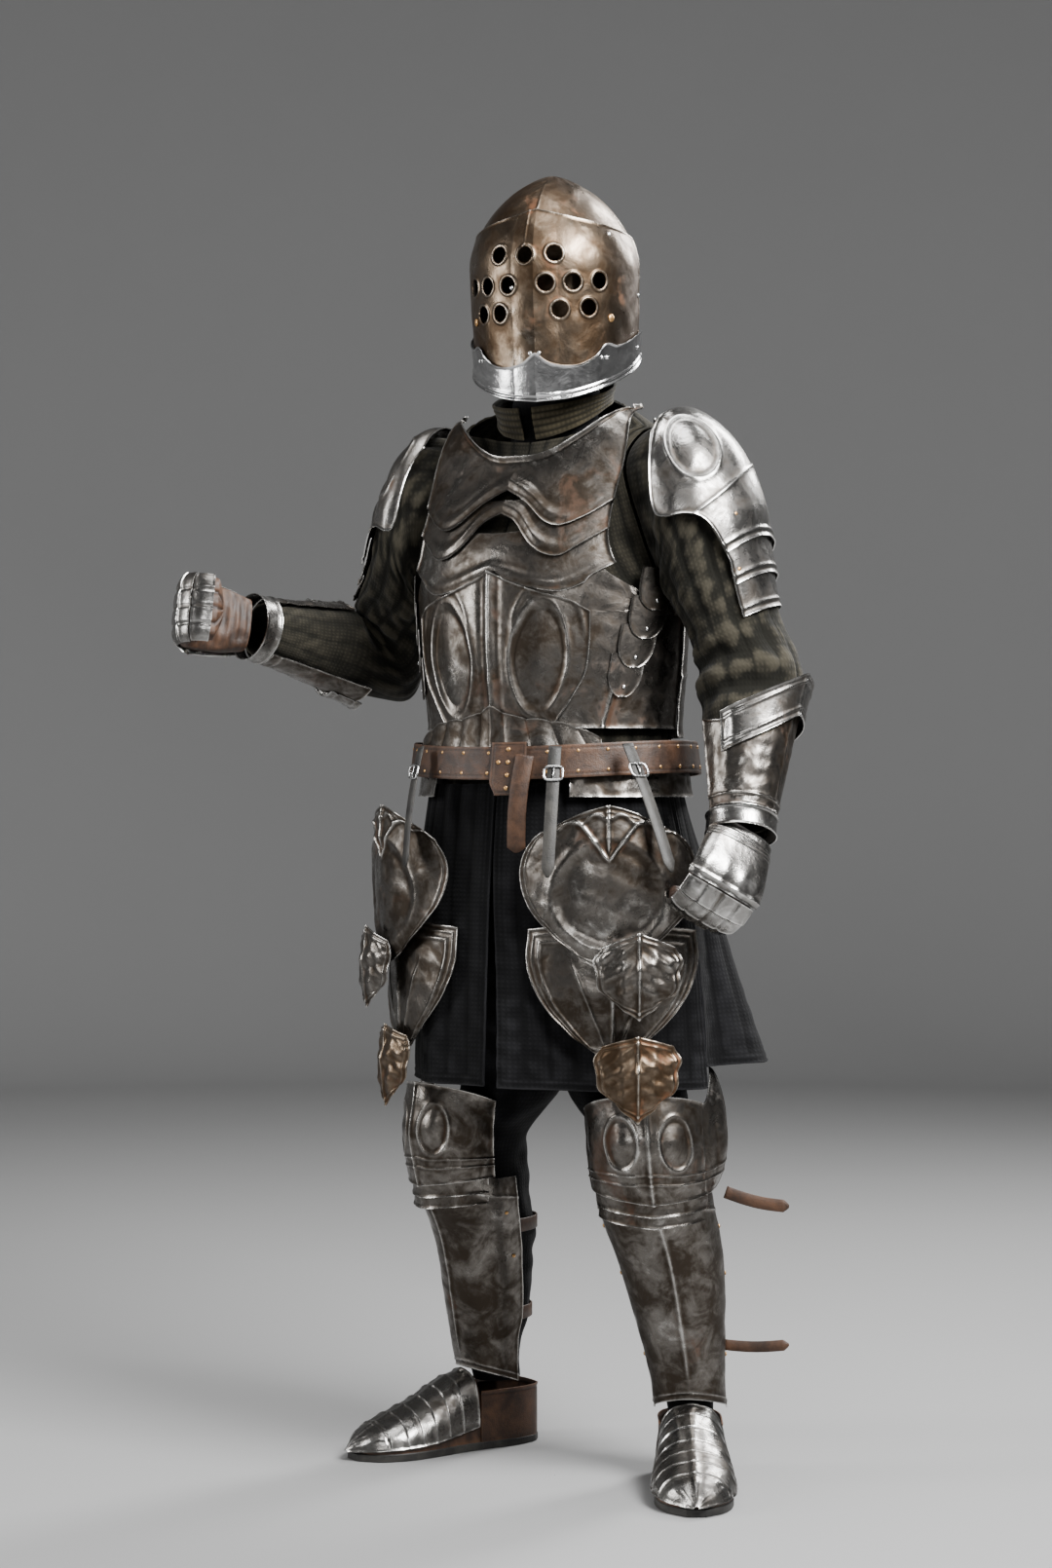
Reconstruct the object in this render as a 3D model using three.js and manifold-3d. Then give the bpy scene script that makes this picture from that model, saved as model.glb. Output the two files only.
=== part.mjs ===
// A suit of plate armour with its arming clothes, worn on a standing figure that isn't built.
// Millimetres, +Z up, the figure's front toward -Y and its left toward +X; heights are above the floor
// until the last lines, which put the origin on the shoulder line.
import * as THREE from "three";
import Module from "manifold-3d";

const wasm = await Module();
wasm.setup();
const { Manifold, Mesh } = wasm;

// Driving dimensions
const shoulderHeight = 1460; // origin above the floor
const clothWall = 3; // quilted cloth
const plateWall = 1.4; // steel plate
const leatherWall = 3;
const waistHeight = 1078; // foot of the breastplate
const hemHeight = 578; // hem of the skirt
const apexHeight = 1873; // point of the helmet
const faceTurn = 19; // helmet turned to the figure's left, degrees
const faceNod = 7; // helmet tipped forward, degrees
const shoeLength = 314;
const breathRadius = 11.5; // holes of the helmet's face plate

const { sin, cos, PI, sqrt, abs, min, max, acos, asin, exp } = Math;
const deg = PI / 180;
const v3 = (x, y, z) => new THREE.Vector3(x, y, z);
const mix = (a, b, t) => a + (b - a) * t;
const clamp = (t) => min(1, max(0, t));
const ease = (t) => clamp(t) ** 2 * (3 - 2 * clamp(t));
const steps = (count) => Array.from({ length: count + 1 }, (_, i) => i / count);
const value = (edge, x) => (typeof edge === "function" ? edge(x) : edge);

const materials = {
  steel: { color: 0x6b6259, roughness: 0.38, metalness: 0.95 },
  brightSteel: { color: 0xc9c9c7, roughness: 0.22, metalness: 1 },
  rustySteel: { color: 0x5a4c40, roughness: 0.5, metalness: 0.85 },
  quilt: { color: 0x2b2a24, roughness: 0.9, metalness: 0 },
  blackCloth: { color: 0x151517, roughness: 0.92, metalness: 0 },
  oliveCloth: { color: 0x4a4636, roughness: 0.9, metalness: 0 },
  leather: { color: 0x4a2c1c, roughness: 0.6, metalness: 0 },
  darkLeather: { color: 0x25201c, roughness: 0.6, metalness: 0 },
};

// A table's row at x, by a cubic through the rows whose slope at each row is its neighbours' chord.
function row(table, x) {
  const last = table.length - 1;
  let i = 0;
  while (i < last - 1 && x > table[i + 1][0]) i++;
  const p = table[i];
  const q = table[i + 1];
  const span = q[0] - p[0];
  const s = clamp((x - p[0]) / span);
  const slope = (k, c) => {
    const lo = table[max(k - 1, 0)];
    const hi = table[min(k + 1, last)];
    return ((hi[c] - lo[c]) / (hi[0] - lo[0])) * span;
  };
  return p.map(
    (_, c) =>
      (2 * s ** 3 - 3 * s * s + 1) * p[c] +
      (s ** 3 - 2 * s * s + s) * slope(i, c) +
      (3 * s * s - 2 * s ** 3) * q[c] +
      (s ** 3 - s * s) * slope(i + 1, c),
  );
}
const curve = (table) => (x) => row(table, x)[1];

// Points of a surface between its side edges (functions of v) and its low and high edges (of the
// fraction across).
function patch(at, across, up, [u0, u1], [v0, v1]) {
  return steps(up).map((t) =>
    steps(across).map((s) => {
      const v = mix(value(v0, s), value(v1, s), t);
      return at(mix(value(u0, v), value(u1, v), s), v);
    }),
  );
}
// The same all the way round, without repeating the first column.
const hoop = (at, around, up, [v0, v1]) =>
  steps(up).map((t) =>
    steps(around)
      .slice(0, -1)
      .map((s) => at(2 * PI * s, mix(value(v0, s), value(v1, s), t))),
  );

// Triangles of a list of quads, turned so that they enclose a positive volume.
function closed(quads) {
  const faces = [];
  const same = (p, q) => p.distanceToSquared(q) < 1e-6;
  const add = (p, q, r) => {
    if (!same(p, q) && !same(q, r) && !same(p, r)) faces.push([p, q, r]);
  };
  for (const [a, b, c, d] of quads) {
    add(a, b, c);
    add(a, c, d);
  }
  let volume = 0;
  for (const [p, q, r] of faces) volume += p.dot(q.clone().cross(r));
  const order = volume < 0 ? [0, 2, 1] : [0, 1, 2];
  const position = faces.flatMap((f) => order.flatMap((k) => f[k].toArray()));
  const geometry = new THREE.BufferGeometry();
  geometry.setAttribute("position", new THREE.Float32BufferAttribute(position, 3));
  geometry.computeVertexNormals();
  return geometry;
}

// A wall: the grid, its copy moved inwards along the normals, and the strips between their edges.
function wall(outer, thick, around = false) {
  const m = outer.length;
  const n = outer[0].length;
  const middle = v3(0, 0, 0);
  for (const line of outer) for (const p of line) middle.addScaledVector(p, 1 / (m * n));
  const back = (i) => (around ? (i + n - 1) % n : max(i - 1, 0));
  const next = (i) => (around ? (i + 1) % n : min(i + 1, n - 1));
  const normal = outer.map((line, j) =>
    line.map((p, i) => {
      const acrossLine = line[next(i)].clone().sub(line[back(i)]);
      const upLine = outer[min(j + 1, m - 1)][i].clone().sub(outer[max(j - 1, 0)][i]);
      const side = acrossLine.cross(upLine);
      return side.length() > 1e-6 ? side.normalize() : v3(0, 0, 0);
    }),
  );
  let facing = 0;
  outer.forEach((line, j) => {
    line.forEach((p, i) => (facing += normal[j][i].dot(p.clone().sub(middle))));
  });
  const inner = outer.map((line, j) =>
    line.map((p, i) => {
      const way = normal[j][i].lengthSq() > 0.5 ? normal[j][i] : p.clone().sub(middle).normalize();
      const turn = normal[j][i].lengthSq() > 0.5 && facing < 0 ? -1 : 1;
      return p.clone().addScaledVector(way, -turn * thick);
    }),
  );
  const quads = [];
  const columns = around ? n : n - 1;
  for (let j = 0; j < m - 1; j++) {
    for (let i = 0; i < columns; i++) {
      const k = next(i);
      quads.push([outer[j][i], outer[j][k], outer[j + 1][k], outer[j + 1][i]]);
      quads.push([inner[j][k], inner[j][i], inner[j + 1][i], inner[j + 1][k]]);
    }
    if (!around) {
      quads.push([inner[j][0], outer[j][0], outer[j + 1][0], inner[j + 1][0]]);
      quads.push([outer[j][n - 1], inner[j][n - 1], inner[j + 1][n - 1], outer[j + 1][n - 1]]);
    }
  }
  for (let i = 0; i < columns; i++) {
    const k = next(i);
    quads.push([inner[0][i], inner[0][k], outer[0][k], outer[0][i]]);
    quads.push([outer[m - 1][i], outer[m - 1][k], inner[m - 1][k], inner[m - 1][i]]);
  }
  return closed(quads);
}

// A solid through rings of points, closed by a fan at each end.
function loft(rings) {
  const quads = [];
  const n = rings[0].length;
  for (let j = 0; j < rings.length - 1; j++) {
    for (let i = 0; i < n; i++) {
      const k = (i + 1) % n;
      quads.push([rings[j][i], rings[j][k], rings[j + 1][k], rings[j + 1][i]]);
    }
  }
  for (const [ring, flip] of [[rings[0], true], [rings.at(-1), false]]) {
    for (let i = 1; i < n - 1; i++) {
      const fan = [ring[0], ring[i], ring[i + 1], ring[i + 1]];
      quads.push(flip ? [fan[0], fan[2], fan[1], fan[1]] : fan);
    }
  }
  return closed(quads);
}

// Conversions to and from manifold solids, for the few shapes that are cut.
function toSolid(shape) {
  const geometry = shape.index ? shape.toNonIndexed() : shape;
  const points = [];
  const index = [];
  const seen = new Map();
  const position = geometry.getAttribute("position");
  for (let i = 0; i < position.count; i++) {
    const p = [position.getX(i), position.getY(i), position.getZ(i)];
    const key = p.map((c) => Math.round(c * 1000)).join();
    if (!seen.has(key)) {
      seen.set(key, seen.size);
      points.push(...p);
    }
    index.push(seen.get(key));
  }
  const triVerts = new Uint32Array(index);
  return new Manifold(new Mesh({ numProp: 3, vertProperties: new Float32Array(points), triVerts }));
}
function toGeometry(solid) {
  const mesh = solid.getMesh();
  const geometry = new THREE.BufferGeometry();
  const points = new THREE.Float32BufferAttribute(mesh.vertProperties, mesh.numProp);
  geometry.setAttribute("position", points);
  geometry.setIndex(new THREE.BufferAttribute(mesh.triVerts, 1));
  geometry.computeVertexNormals();
  return geometry;
}

const group = new THREE.Group();
group.name = "plate_armour";
function add(name, geometry, kind) {
  const mesh = new THREE.Mesh(geometry, new THREE.MeshStandardMaterial(materials[kind]));
  mesh.name = name;
  group.add(mesh);
}

// ---- Torso ----
// Level sections: [height, half width, front depth, back depth], half ellipses front and back.
const coatTable = [
  [960, 184, 150, 146],
  [1085, 176, 144, 138],
  [1200, 188, 154, 138],
  [1300, 194, 152, 140],
  [1350, 195, 137, 141],
  [1400, 194, 110, 140],
  [1440, 190, 88, 132],
  [1480, 178, 71, 118],
  [1510, 157, 61, 103],
  [1530, 131, 56, 90],
  [1545, 106, 54, 80],
  [1560, 86, 54, 72],
];
const plateTable = [
  [960, 204, 172, 168],
  [1040, 194, 158, 154],
  [1085, 190, 156, 150],
  [1150, 196, 164, 149],
  [1200, 200, 168, 149],
  [1300, 206, 166, 151],
  [1350, 206, 150, 152],
  [1400, 204, 122, 150],
  [1440, 199, 99, 142],
  [1480, 187, 81, 128],
  [1510, 166, 70, 112],
  [1530, 140, 64, 98],
  [1545, 114, 62, 88],
];
// theta from the front toward the figure's left
const section = (table) => (theta, z, out = 0) => {
  const [, half, front, back] = row(table, z);
  const deep = cos(theta) > 0 ? front : back;
  return v3((half + out) * sin(theta), -(deep + out) * cos(theta), z);
};
const coat = section(coatTable);
const cuirass = section(plateTable);

// Armhole: an ellipse seen from the side, deeper behind the shoulder than in front of it.
const armhole = { z: 1390, high: 115, front: 62, back: 88 };
const armholeEdge = (z, behind) => {
  const share = 1 - ((z - armhole.z) / armhole.high) ** 2;
  if (share <= 0) return PI / 2;
  const [, , front, back] = row(coatTable, z);
  return acos(((behind ? armhole.back : armhole.front) * sqrt(share)) / (behind ? back : front));
};
const neckEdge = (theta) => 1560 - 72 * ((1 + cos(theta)) / 2) ** 1.6;
const seam = 0.004; // half gap of a seam, radians

for (const side of [1, -1]) {
  const rows = patch(
    (s, z) => coat(side * mix(seam, armholeEdge(z, false) - seam, s), z),
    6,
    11,
    [0, 1],
    [968, (s) => neckEdge((s * PI) / 2)],
  );
  add(side > 0 ? "coat_front_left" : "coat_front_right", wall(rows, clothWall), "quilt");
}
add(
  "coat_back",
  wall(
    patch(
      (s, z) => coat(PI + mix(-1, 1, s) * (armholeEdge(z, true) - seam), z),
      12,
      11,
      [0, 1],
      [968, (s) => neckEdge(PI + mix(-1, 1, s) * (PI / 2))],
    ),
    clothWall,
  ),
  "quilt",
);

// Standing collar, open at the throat, and the hood cloth inside it.
const collarTable = [
  [0, 88, 69, 76],
  [0.5, 88, 78, 76],
  [1, 92, 84, 80],
];
const collarAt = (theta, t) => {
  const [, half, front, back] = row(collarTable, t);
  const deep = cos(theta) > 0 ? front : back;
  const low = neckEdge(theta) + 3;
  return v3(half * sin(theta), -deep * cos(theta), mix(low, mix(1592, 1536, (1 + cos(theta)) / 2), t));
};
add(
  "collar",
  wall(patch(collarAt, 18, 2, [0.12, 2 * PI - 0.12], [0, 1]), clothWall),
  "oliveCloth",
);
const neckAt = (theta, t) => v3(66 * sin(theta), -1 - 58 * cos(theta), mix(1478, 1600, t));
add("neck_cloth", wall(hoop(neckAt, 16, 2, [0, 1]), 2.4, true), "blackCloth");

// ---- Sleeves ----
// A ring is a centre, a vector to its outer side and a vector to its front; phi runs from outer to
// front.
const tube = (rings) => (phi, t, out = 0) => {
  const [, cx, cy, cz, ax, ay, az, bx, by, bz] = row(rings, t);
  const a = v3(ax, ay, az);
  const b = v3(bx, by, bz);
  return v3(cx, cy, cz)
    .addScaledVector(a, cos(phi) * (1 + out / a.length()))
    .addScaledVector(b, sin(phi) * (1 + out / b.length()));
};
const arms = {
  left: {
    side: 1,
    elbow: v3(308, 20, 1150),
    wrist: v3(340, -68, 930),
    outer: v3(1, 0, 0),
    rings: [
      [0, 178, 13, 1390, -8, 0, 115, 0, -75, 0],
      [1, 212, 4, 1392, 8, 0, 124, 0, -86, 0],
      [2, 240, 2, 1364, 38, 0, 108, 0, -90, 0],
      [3, 260, 3, 1322, 54, 0, 76, 0, -88, 0],
      [4, 275, 7, 1272, 56, 0, 46, 0, -84, 0],
      [5, 288, 13, 1214, 58, 0, 26, 0, -78, 0],
      [6, 307, 19, 1150, 72, 0, 12, 0, -76, 10],
    ],
  },
  right: {
    side: -1,
    elbow: v3(-330, 30, 1190),
    wrist: v3(-408, -196, 1231),
    outer: v3(-1, 0, 0),
    rings: [
      [0, -178, 13, 1390, 8, 0, 115, 0, -75, 0],
      [1, -204, 0, 1390, -6, 0, 120, 0, -84, 0],
      [2, -222, -4, 1364, -24, 0, 104, 0, -88, 0],
      [3, -238, -2, 1328, -40, 0, 76, 0, -86, 0],
      [4, -262, 8, 1284, -48, 0, 40, 0, -78, 0],
      [5, -294, 22, 1240, -56, 8, 28, 0, -70, 20],
      [6, -330, 32, 1190, -60, 24, 22, 0, -52, 54],
    ],
  },
};
// The forearm's own axes, and its four rings below the elbow: [row, distance from the elbow, radius].
const unit = (v) => v.clone().normalize();
const square = (v, along) => unit(v.clone().addScaledVector(along, -v.dot(along)));
for (const arm of Object.values(arms)) {
  arm.along = unit(arm.wrist.clone().sub(arm.elbow));
  arm.out = square(arm.outer, arm.along);
  arm.front = arm.along.clone().cross(arm.out).multiplyScalar(arm.side);
  for (const [t, u, radius] of [
    [7, 78, 63],
    [8, 130, 55],
    [9, 178, 47],
    [10, 222, 40],
  ]) {
    const c = arm.elbow.clone().addScaledVector(arm.along, u);
    const [a, b] = [arm.out, arm.front].map((axis) => axis.clone().multiplyScalar(radius));
    arm.rings.push([t, c.x, c.y, c.z, a.x, a.y, a.z, b.x, b.y, b.z]);
  }
}
// First ring on the coat's armhole, a stitch outside it.
const armholeLoop = (side, phi) => {
  const z = armhole.z + armhole.high * cos(phi);
  const y = -(sin(phi) > 0 ? armhole.front : armhole.back) * sin(phi);
  const [, half, front, back] = row(coatTable, z);
  const deep = y < 0 ? front : back;
  return v3(side * (half * sqrt(max(0, 1 - (y / deep) ** 2)) + 3.6), y, z);
};
const sleeve = (arm) => (phi, t) => {
  const at = tube(arm.rings);
  const shift = armholeLoop(arm.side, phi).sub(at(phi, 0));
  return at(phi, t).addScaledVector(shift, 1 - ease(t));
};
for (const [name, arm] of Object.entries(arms)) {
  add("sleeve_" + name, wall(hoop(sleeve(arm), 14, 15, [0, 10]), clothWall, true), "quilt");
}

// ---- Skirt of the coat ----
const skirtTable = [
  [570, 224, 198, 208],
  [700, 222, 190, 198],
  [850, 214, 180, 186],
  [960, 196, 164, 164],
  [1040, 183, 148, 144],
];
const skirtAt = (theta, z) => {
  const [, half, front, back] = row(skirtTable, z);
  const drop = clamp((1000 - z) / 430); // 0 at the belt, 1 at the hem
  const deep = cos(theta) > 0 ? front : back;
  const fold = 1 + drop * 0.035 * sin(9 * theta + 0.6);
  const flare = 0.36 * drop ** 1.6 * exp(-(((theta / deg - 118) / 16) ** 2));
  return v3(
    half * (fold + flare) * sin(theta) + 12 * drop,
    -deep * (fold + flare) * cos(theta) + 10 * drop,
    z,
  );
};
const skirtTop = 1000;
const frontSlit = (z) => 0.012 + 0.055 * clamp((900 - z) / 320);
for (const side of [1, -1]) {
  const rows = patch(
    (s, z) => skirtAt(side * mix(frontSlit(z), PI / 2 - 0.008, s), z),
    7,
    5,
    [0, 1],
    [(s) => hemHeight - 6 * s, skirtTop],
  );
  add(side > 0 ? "skirt_front_left" : "skirt_front_right", wall(rows, clothWall), "blackCloth");
}
add(
  "skirt_back",
  wall(
    patch(skirtAt, 20, 5, [PI / 2 + 0.008, 1.5 * PI - 0.008], [602, skirtTop]),
    clothWall,
  ),
  "blackCloth",
);

// ---- Legs ----
// Level sections of the hose: [height, centre x, centre y, half width, front depth, back depth],
// about an axis that turns with the foot.
const legs = {
  left: {
    side: 1,
    turn: 30,
    knee: [159, -6, 84],
    heel: v3(138, 147, 0),
    toe: v3(294, -111, 0),
    table: [
      [100, 171, 95, 34, 36, 36],
      [160, 171, 84, 40, 42, 48],
      [240, 170, 64, 50, 48, 66],
      [330, 168, 38, 58, 54, 80],
      [400, 163, 18, 62, 58, 78],
      [480, 152, 8, 65, 62, 76],
      [560, 114, 14, 86, 72, 86],
      [700, 114, 0, 84, 88, 92],
      [900, 94, 0, 86, 92, 94],
    ],
  },
  right: {
    side: -1,
    turn: -20,
    knee: [-162, 8, 76],
    heel: v3(-173, 210, 0),
    toe: v3(-306, -73, 0),
    table: [
      [100, -199, 152, 34, 36, 36],
      [160, -196, 132, 40, 42, 54],
      [240, -186, 106, 50, 48, 74],
      [330, -174, 74, 58, 54, 86],
      [400, -166, 52, 57, 58, 84],
      [480, -152, 34, 62, 60, 80],
      [560, -106, 36, 78, 60, 88],
      [700, -108, 8, 82, 88, 92],
      [900, -90, 0, 84, 92, 94],
    ],
  },
};
// Point round a leg; psi from the leg's own front toward the figure's left.
const limb = (leg, table) => (psi, z, out = 0) => {
  const [, x, y, half, front, back] = row(table, z);
  const deep = cos(psi) > 0 ? front : back;
  const across = (half + out) * sin(psi);
  const ahead = (deep + out) * cos(psi);
  const turn = leg.turn * deg;
  return v3(
    x + across * cos(turn) + ahead * sin(turn),
    y + across * sin(turn) - ahead * cos(turn),
    z,
  );
};
for (const [name, leg] of Object.entries(legs)) {
  const at = limb(leg, leg.table);
  add("hose_" + name, wall(hoop(at, 14, 12, [98, 896]), 2.6, true), "blackCloth");

  // Greave: the front shell of the shin, from the knee to the ankle.
  const [kneeX, kneeY, kneeHalf] = leg.knee;
  const shinRow = (z, half, deep, ahead) => {
    const [, x, y] = row(leg.table, z);
    return [z, x + ahead * sin(leg.turn * deg), y - ahead * cos(leg.turn * deg), half, deep, deep];
  };
  const greaveTable = [
    shinRow(100, 51, 52, 5),
    shinRow(160, 55, 56, 4),
    shinRow(220, 63, 62, 2),
    shinRow(320, kneeHalf - 8, 70, 2),
    [400, kneeX + leg.side, kneeY + 20, kneeHalf - 1, 80, 84],
    [440, kneeX, kneeY + 12, kneeHalf - 3, 82, 84],
  ];
  const shin = limb(leg, greaveTable);
  const reach = (z) => (112 - 14 * clamp((200 - z) / 100)) * deg;
  const foot = (s) => 124 - 24 * abs(2 * s - 1) ** 1.5;
  add(
    "greave_" + name,
    wall(patch(shin, 12, 6, [(z) => -reach(z), reach], [foot, 424]), plateWall),
    "steel",
  );

  // Poleyn: the knee cap, bulging forward, with a wing on the outer side.
  const poleynTable = [
    [408, kneeX + 2 * leg.side, kneeY + 12, kneeHalf, 88, 84],
    [450, kneeX + leg.side, kneeY + 4, kneeHalf + 2, 93, 84],
    [490, kneeX, kneeY, kneeHalf + 3, 98, 84],
    [530, kneeX - 3 * leg.side, kneeY, kneeHalf + 3, 96, 86],
    [572, kneeX - 6 * leg.side, kneeY + 4, kneeHalf + 5, 95, 88],
  ];
  const cap = limb(leg, poleynTable);
  const wing = (psi) => ease(((psi * leg.side) / deg - 62) / 34);
  const poleynAt = (s, t) => {
    const psi = mix(-86, 98, s) * deg * leg.side;
    const grow = wing(psi);
    const low = mix(412 + 10 * abs(psi), 424, grow);
    const high = mix(566 - 12 * psi * psi, 596, grow);
    return cap(psi, mix(low, high, t), 26 * grow * max(0, sin(PI * clamp(t))) ** 0.6);
  };
  add("poleyn_" + name, wall(patch(poleynAt, 14, 5, [0, 1], [0, 1]), plateWall), "steel");

  // Shoe: level sole, rounded upper, open at the ankle.
  const way = leg.toe.clone().sub(leg.heel).normalize();
  const across = v3(-way.y, way.x, 0);
  const shoeTable = [
    [0, 20, 78, 0.6],
    [14, 34, 112, 0.6],
    [45, 43, 142, 0.55],
    [92, 44, 118, 0.55],
    [125, 44, 108, 0.65],
    [160, 47, 98, 0.75],
    [205, 53, 74, 0.85],
    [252, 52, 55, 0.85],
    [290, 38, 40, 0.85],
    [shoeLength, 12, 24, 0.9],
  ];
  const place = (u, v, z) => leg.heel.clone().addScaledVector(way, u).addScaledVector(across, v).setZ(z);
  // Half loop over the top between psi = -90 and 90 degrees, at a height above the floor.
  const shoeAt = (psi, u, out = 0, floor = 12) => {
    const [, half, high, power] = row(shoeTable, u);
    const v = (half + out) * Math.sign(sin(psi)) * abs(sin(psi)) ** power;
    return place(u, v, floor + (high - floor + out) * max(0, cos(psi)) ** power);
  };
  const shoeRing = (u, out, floor, sole) => {
    const [, half] = row(shoeTable, u);
    const over = steps(8).map((s) => shoeAt(mix(-90, 90, s) * deg, u, out, floor));
    return [...over, place(u, (half + out) * 0.94, sole), place(u, -(half + out) * 0.94, sole)];
  };
  const us = [0, 14, 45, 92, 125, 160, 195, 230, 262, 290, shoeLength];
  const outside = toSolid(loft(us.map((u) => shoeRing(u, 0, 12, 0))));
  const hollow = toSolid(
    loft(us.slice(1, -1).map((u) => shoeRing(u === 14 ? 5 : u === 290 ? 300 : u, -3.2, 12, 9))),
  );
  const top = new THREE.BoxGeometry(134, 140, 120)
    .translate(47, 0, 154)
    .rotateZ(Math.atan2(way.y, way.x))
    .translate(leg.heel.x, leg.heel.y, 0);
  add("shoe_" + name, toGeometry(outside.subtract(hollow).subtract(toSolid(top))), "leather");

  // Sabaton: the steel cover of the upper, from the instep over the toe.
  const over = (psi, u) => shoeAt(psi, u, 4.6);
  add(
    "sabaton_" + name,
    wall(patch(over, 8, 8, [-84 * deg, 84 * deg], [122, shoeLength + 1]), plateWall),
    "steel",
  );
}

// Strap tails that hang out behind the left greave.
const tail = (from, to, sag, width) =>
  patch(
    (w, t) => {
      const p = from.clone().lerp(to, t);
      p.z += w * width - sag * sin(PI * t) + 0.35 * sag * t;
      return p;
    },
    1,
    8,
    [-0.5, 0.5],
    [0, 1],
  );
add(
  "greave_strap_left_upper",
  wall(tail(v3(246, 62, 420), v3(330, 96, 400), 4, 18), 2.4),
  "leather",
);
add(
  "greave_strap_left_lower",
  wall(tail(v3(212, 124, 190), v3(298, 158, 192), 3, 16), 2.4),
  "leather",
);

// ---- Cuirass ----
const at = (out) => (theta, z) => cuirass(theta, z, out);
// Side edge of the breast plates: clear of the arm above, round the ribs below.
const armEdge = (z) => {
  const [, half] = row(plateTable, z);
  const x = curve([
    [1255, 206],
    [1275, 186],
    [1300, 164],
    [1340, 150],
    [1400, 146],
    [1470, 146],
    [1530, 136],
  ])(z);
  if (z < 1240) return 94 * deg;
  return asin(min(0.998, x / half));
};
const across = (edge) => [(z) => -edge(z), edge];
const byAngle = (edge, table) => (s) => {
  const angle = abs(mix(-1, 1, s));
  return curve(table)(angle * edge);
};
add(
  "breastplate",
  wall(
    patch(
      at(3.4),
      18,
      10,
      across(armEdge),
      [waistHeight, (s) => 1326 - 84 * ease((abs(2 * s - 1) - 0.8) / 0.2)],
    ),
    plateWall,
  ),
  "steel",
);
const notch = (z) => min(armEdge(z), 62 * deg);
add(
  "breast_lame_2",
  wall(
    patch(at(7), 16, 3, across(notch), [
      byAngle(58, [
        [0, 1290],
        [26, 1268],
        [42, 1290],
        [58, 1308],
      ]),
      (s) => 1352 + 10 * abs(2 * s - 1),
    ]),
    plateWall,
  ),
  "steel",
);
add(
  "breast_lame_1",
  wall(
    patch(at(10.6), 16, 3, across(notch), [
      byAngle(50, [
        [0, 1380],
        [8, 1366],
        [18, 1328],
        [27, 1317],
        [36, 1331],
        [50, 1357],
      ]),
      (s) => 1400 + 4 * abs(2 * s - 1),
    ]),
    plateWall,
  ),
  "steel",
);
const throat = (theta) => 1464 + 84 * ease((abs(theta) / deg - 6) / 64);
add(
  "breast_top",
  wall(
    patch(at(14.2), 16, 6, across(armEdge), [
      byAngle(48, [
        [0, 1414],
        [10, 1395],
        [20, 1367],
        [27, 1360],
        [36, 1372],
        [48, 1398],
      ]),
      (s) => min(1536, throat(mix(-1, 1, s) * 62 * deg)),
    ]),
    plateWall,
  ),
  "steel",
);
add(
  "plackart",
  wall(
    patch(
      at(10.6),
      10,
      6,
      across((z) => curve([[1070, 24], [1085, 27], [1120, 34], [1160, 40], [1240, 41], [1300, 38]])(z) * deg),
      [
        1072,
        byAngle(40, [
          [0, 1298],
          [8, 1284],
          [20, 1268],
          [32, 1256],
          [40, 1240],
        ]),
      ],
    ),
    plateWall,
  ),
  "steel",
);
const bladeEdge = (z) => {
  const [, half] = row(plateTable, z);
  const x = curve([[1240, 206], [1280, 176], [1330, 158], [1470, 150], [1530, 132]])(z);
  return z < 1235 ? 84 * deg : asin(min(0.995, x / half));
};
add(
  "backplate",
  wall(
    patch(
      (theta, z) => cuirass(PI + theta, z, 3.6),
      14,
      8,
      across(bladeEdge),
      [1066, (s) => 1524 - 60 * cos(PI * (s - 0.5)) ** 2],
    ),
    plateWall,
  ),
  "steel",
);

// ---- Waist ----
add(
  "waist_band",
  wall(
    patch(at(14.4), 16, 1, [-46 * deg, 46 * deg], [
      1050,
      byAngle(46, [
        [0, 1108],
        [10, 1094],
        [30, 1084],
        [46, 1064],
      ]),
    ]),
    plateWall,
  ),
  "steel",
);
const beltAt = (theta, z) => cuirass(theta, z, 21 - cos(theta)).setZ(z + 10 * sin(theta) ** 2);
add("belt", wall(hoop(beltAt, 30, 1, [1006, 1052]), leatherWall, true), "leather");
add(
  "fauld_lame",
  wall(
    patch(at(6), 24, 1, [33 * deg, 327 * deg], [982, 1044]),
    plateWall,
  ),
  "steel",
);
const tongueAt = (w, t) => v3(60 + 13 * w - 8 * t, -178 + 5 * w - 8 * sin(PI * t) - 10 * t, mix(1040, 905, t));
add("belt_tongue", wall(patch(tongueAt, 1, 6, [-1, 1], [0, 1]), leatherWall), "leather");

// ---- Tassets ----
// A bowed plate: width by a table of [share down, share of the half width], bent on a radius about
// its own upright middle line, turned to face sideways and tipped.
function plate({ centre, face, tip = 0, half, high, bend, bulge = 0, shape, top, foot, n = [6, 4] }) {
  const spin = new THREE.Matrix4()
    .makeRotationZ(face * deg)
    .multiply(new THREE.Matrix4().makeRotationX(tip * deg));
  return wall(
    patch(
      (u, t) => {
        const w = u * half * curve(shape)(t);
        const z = -mix(top(u), high - foot(u), t);
        const back = bend * (1 - cos(w / bend)) + bulge * (2 * t - 1) ** 2;
        return v3(bend * sin(w / bend), back, z).applyMatrix4(spin).add(centre);
      },
      n[0],
      n[1],
      [-1, 1],
      [0, 1],
    ),
    1.6,
  );
}
const shield = [
  [0, 0.62],
  [0.12, 0.86],
  [0.34, 1],
  [0.6, 0.9],
  [0.82, 0.62],
  [1, 0.3],
];
const wide = [
  [0, 0.98],
  [0.3, 1],
  [0.6, 0.82],
  [0.85, 0.5],
  [1, 0.22],
];
const leaf = [
  [0, 0.8],
  [0.25, 1],
  [0.5, 0.94],
  [0.8, 0.86],
  [1, 0.5],
];
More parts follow.
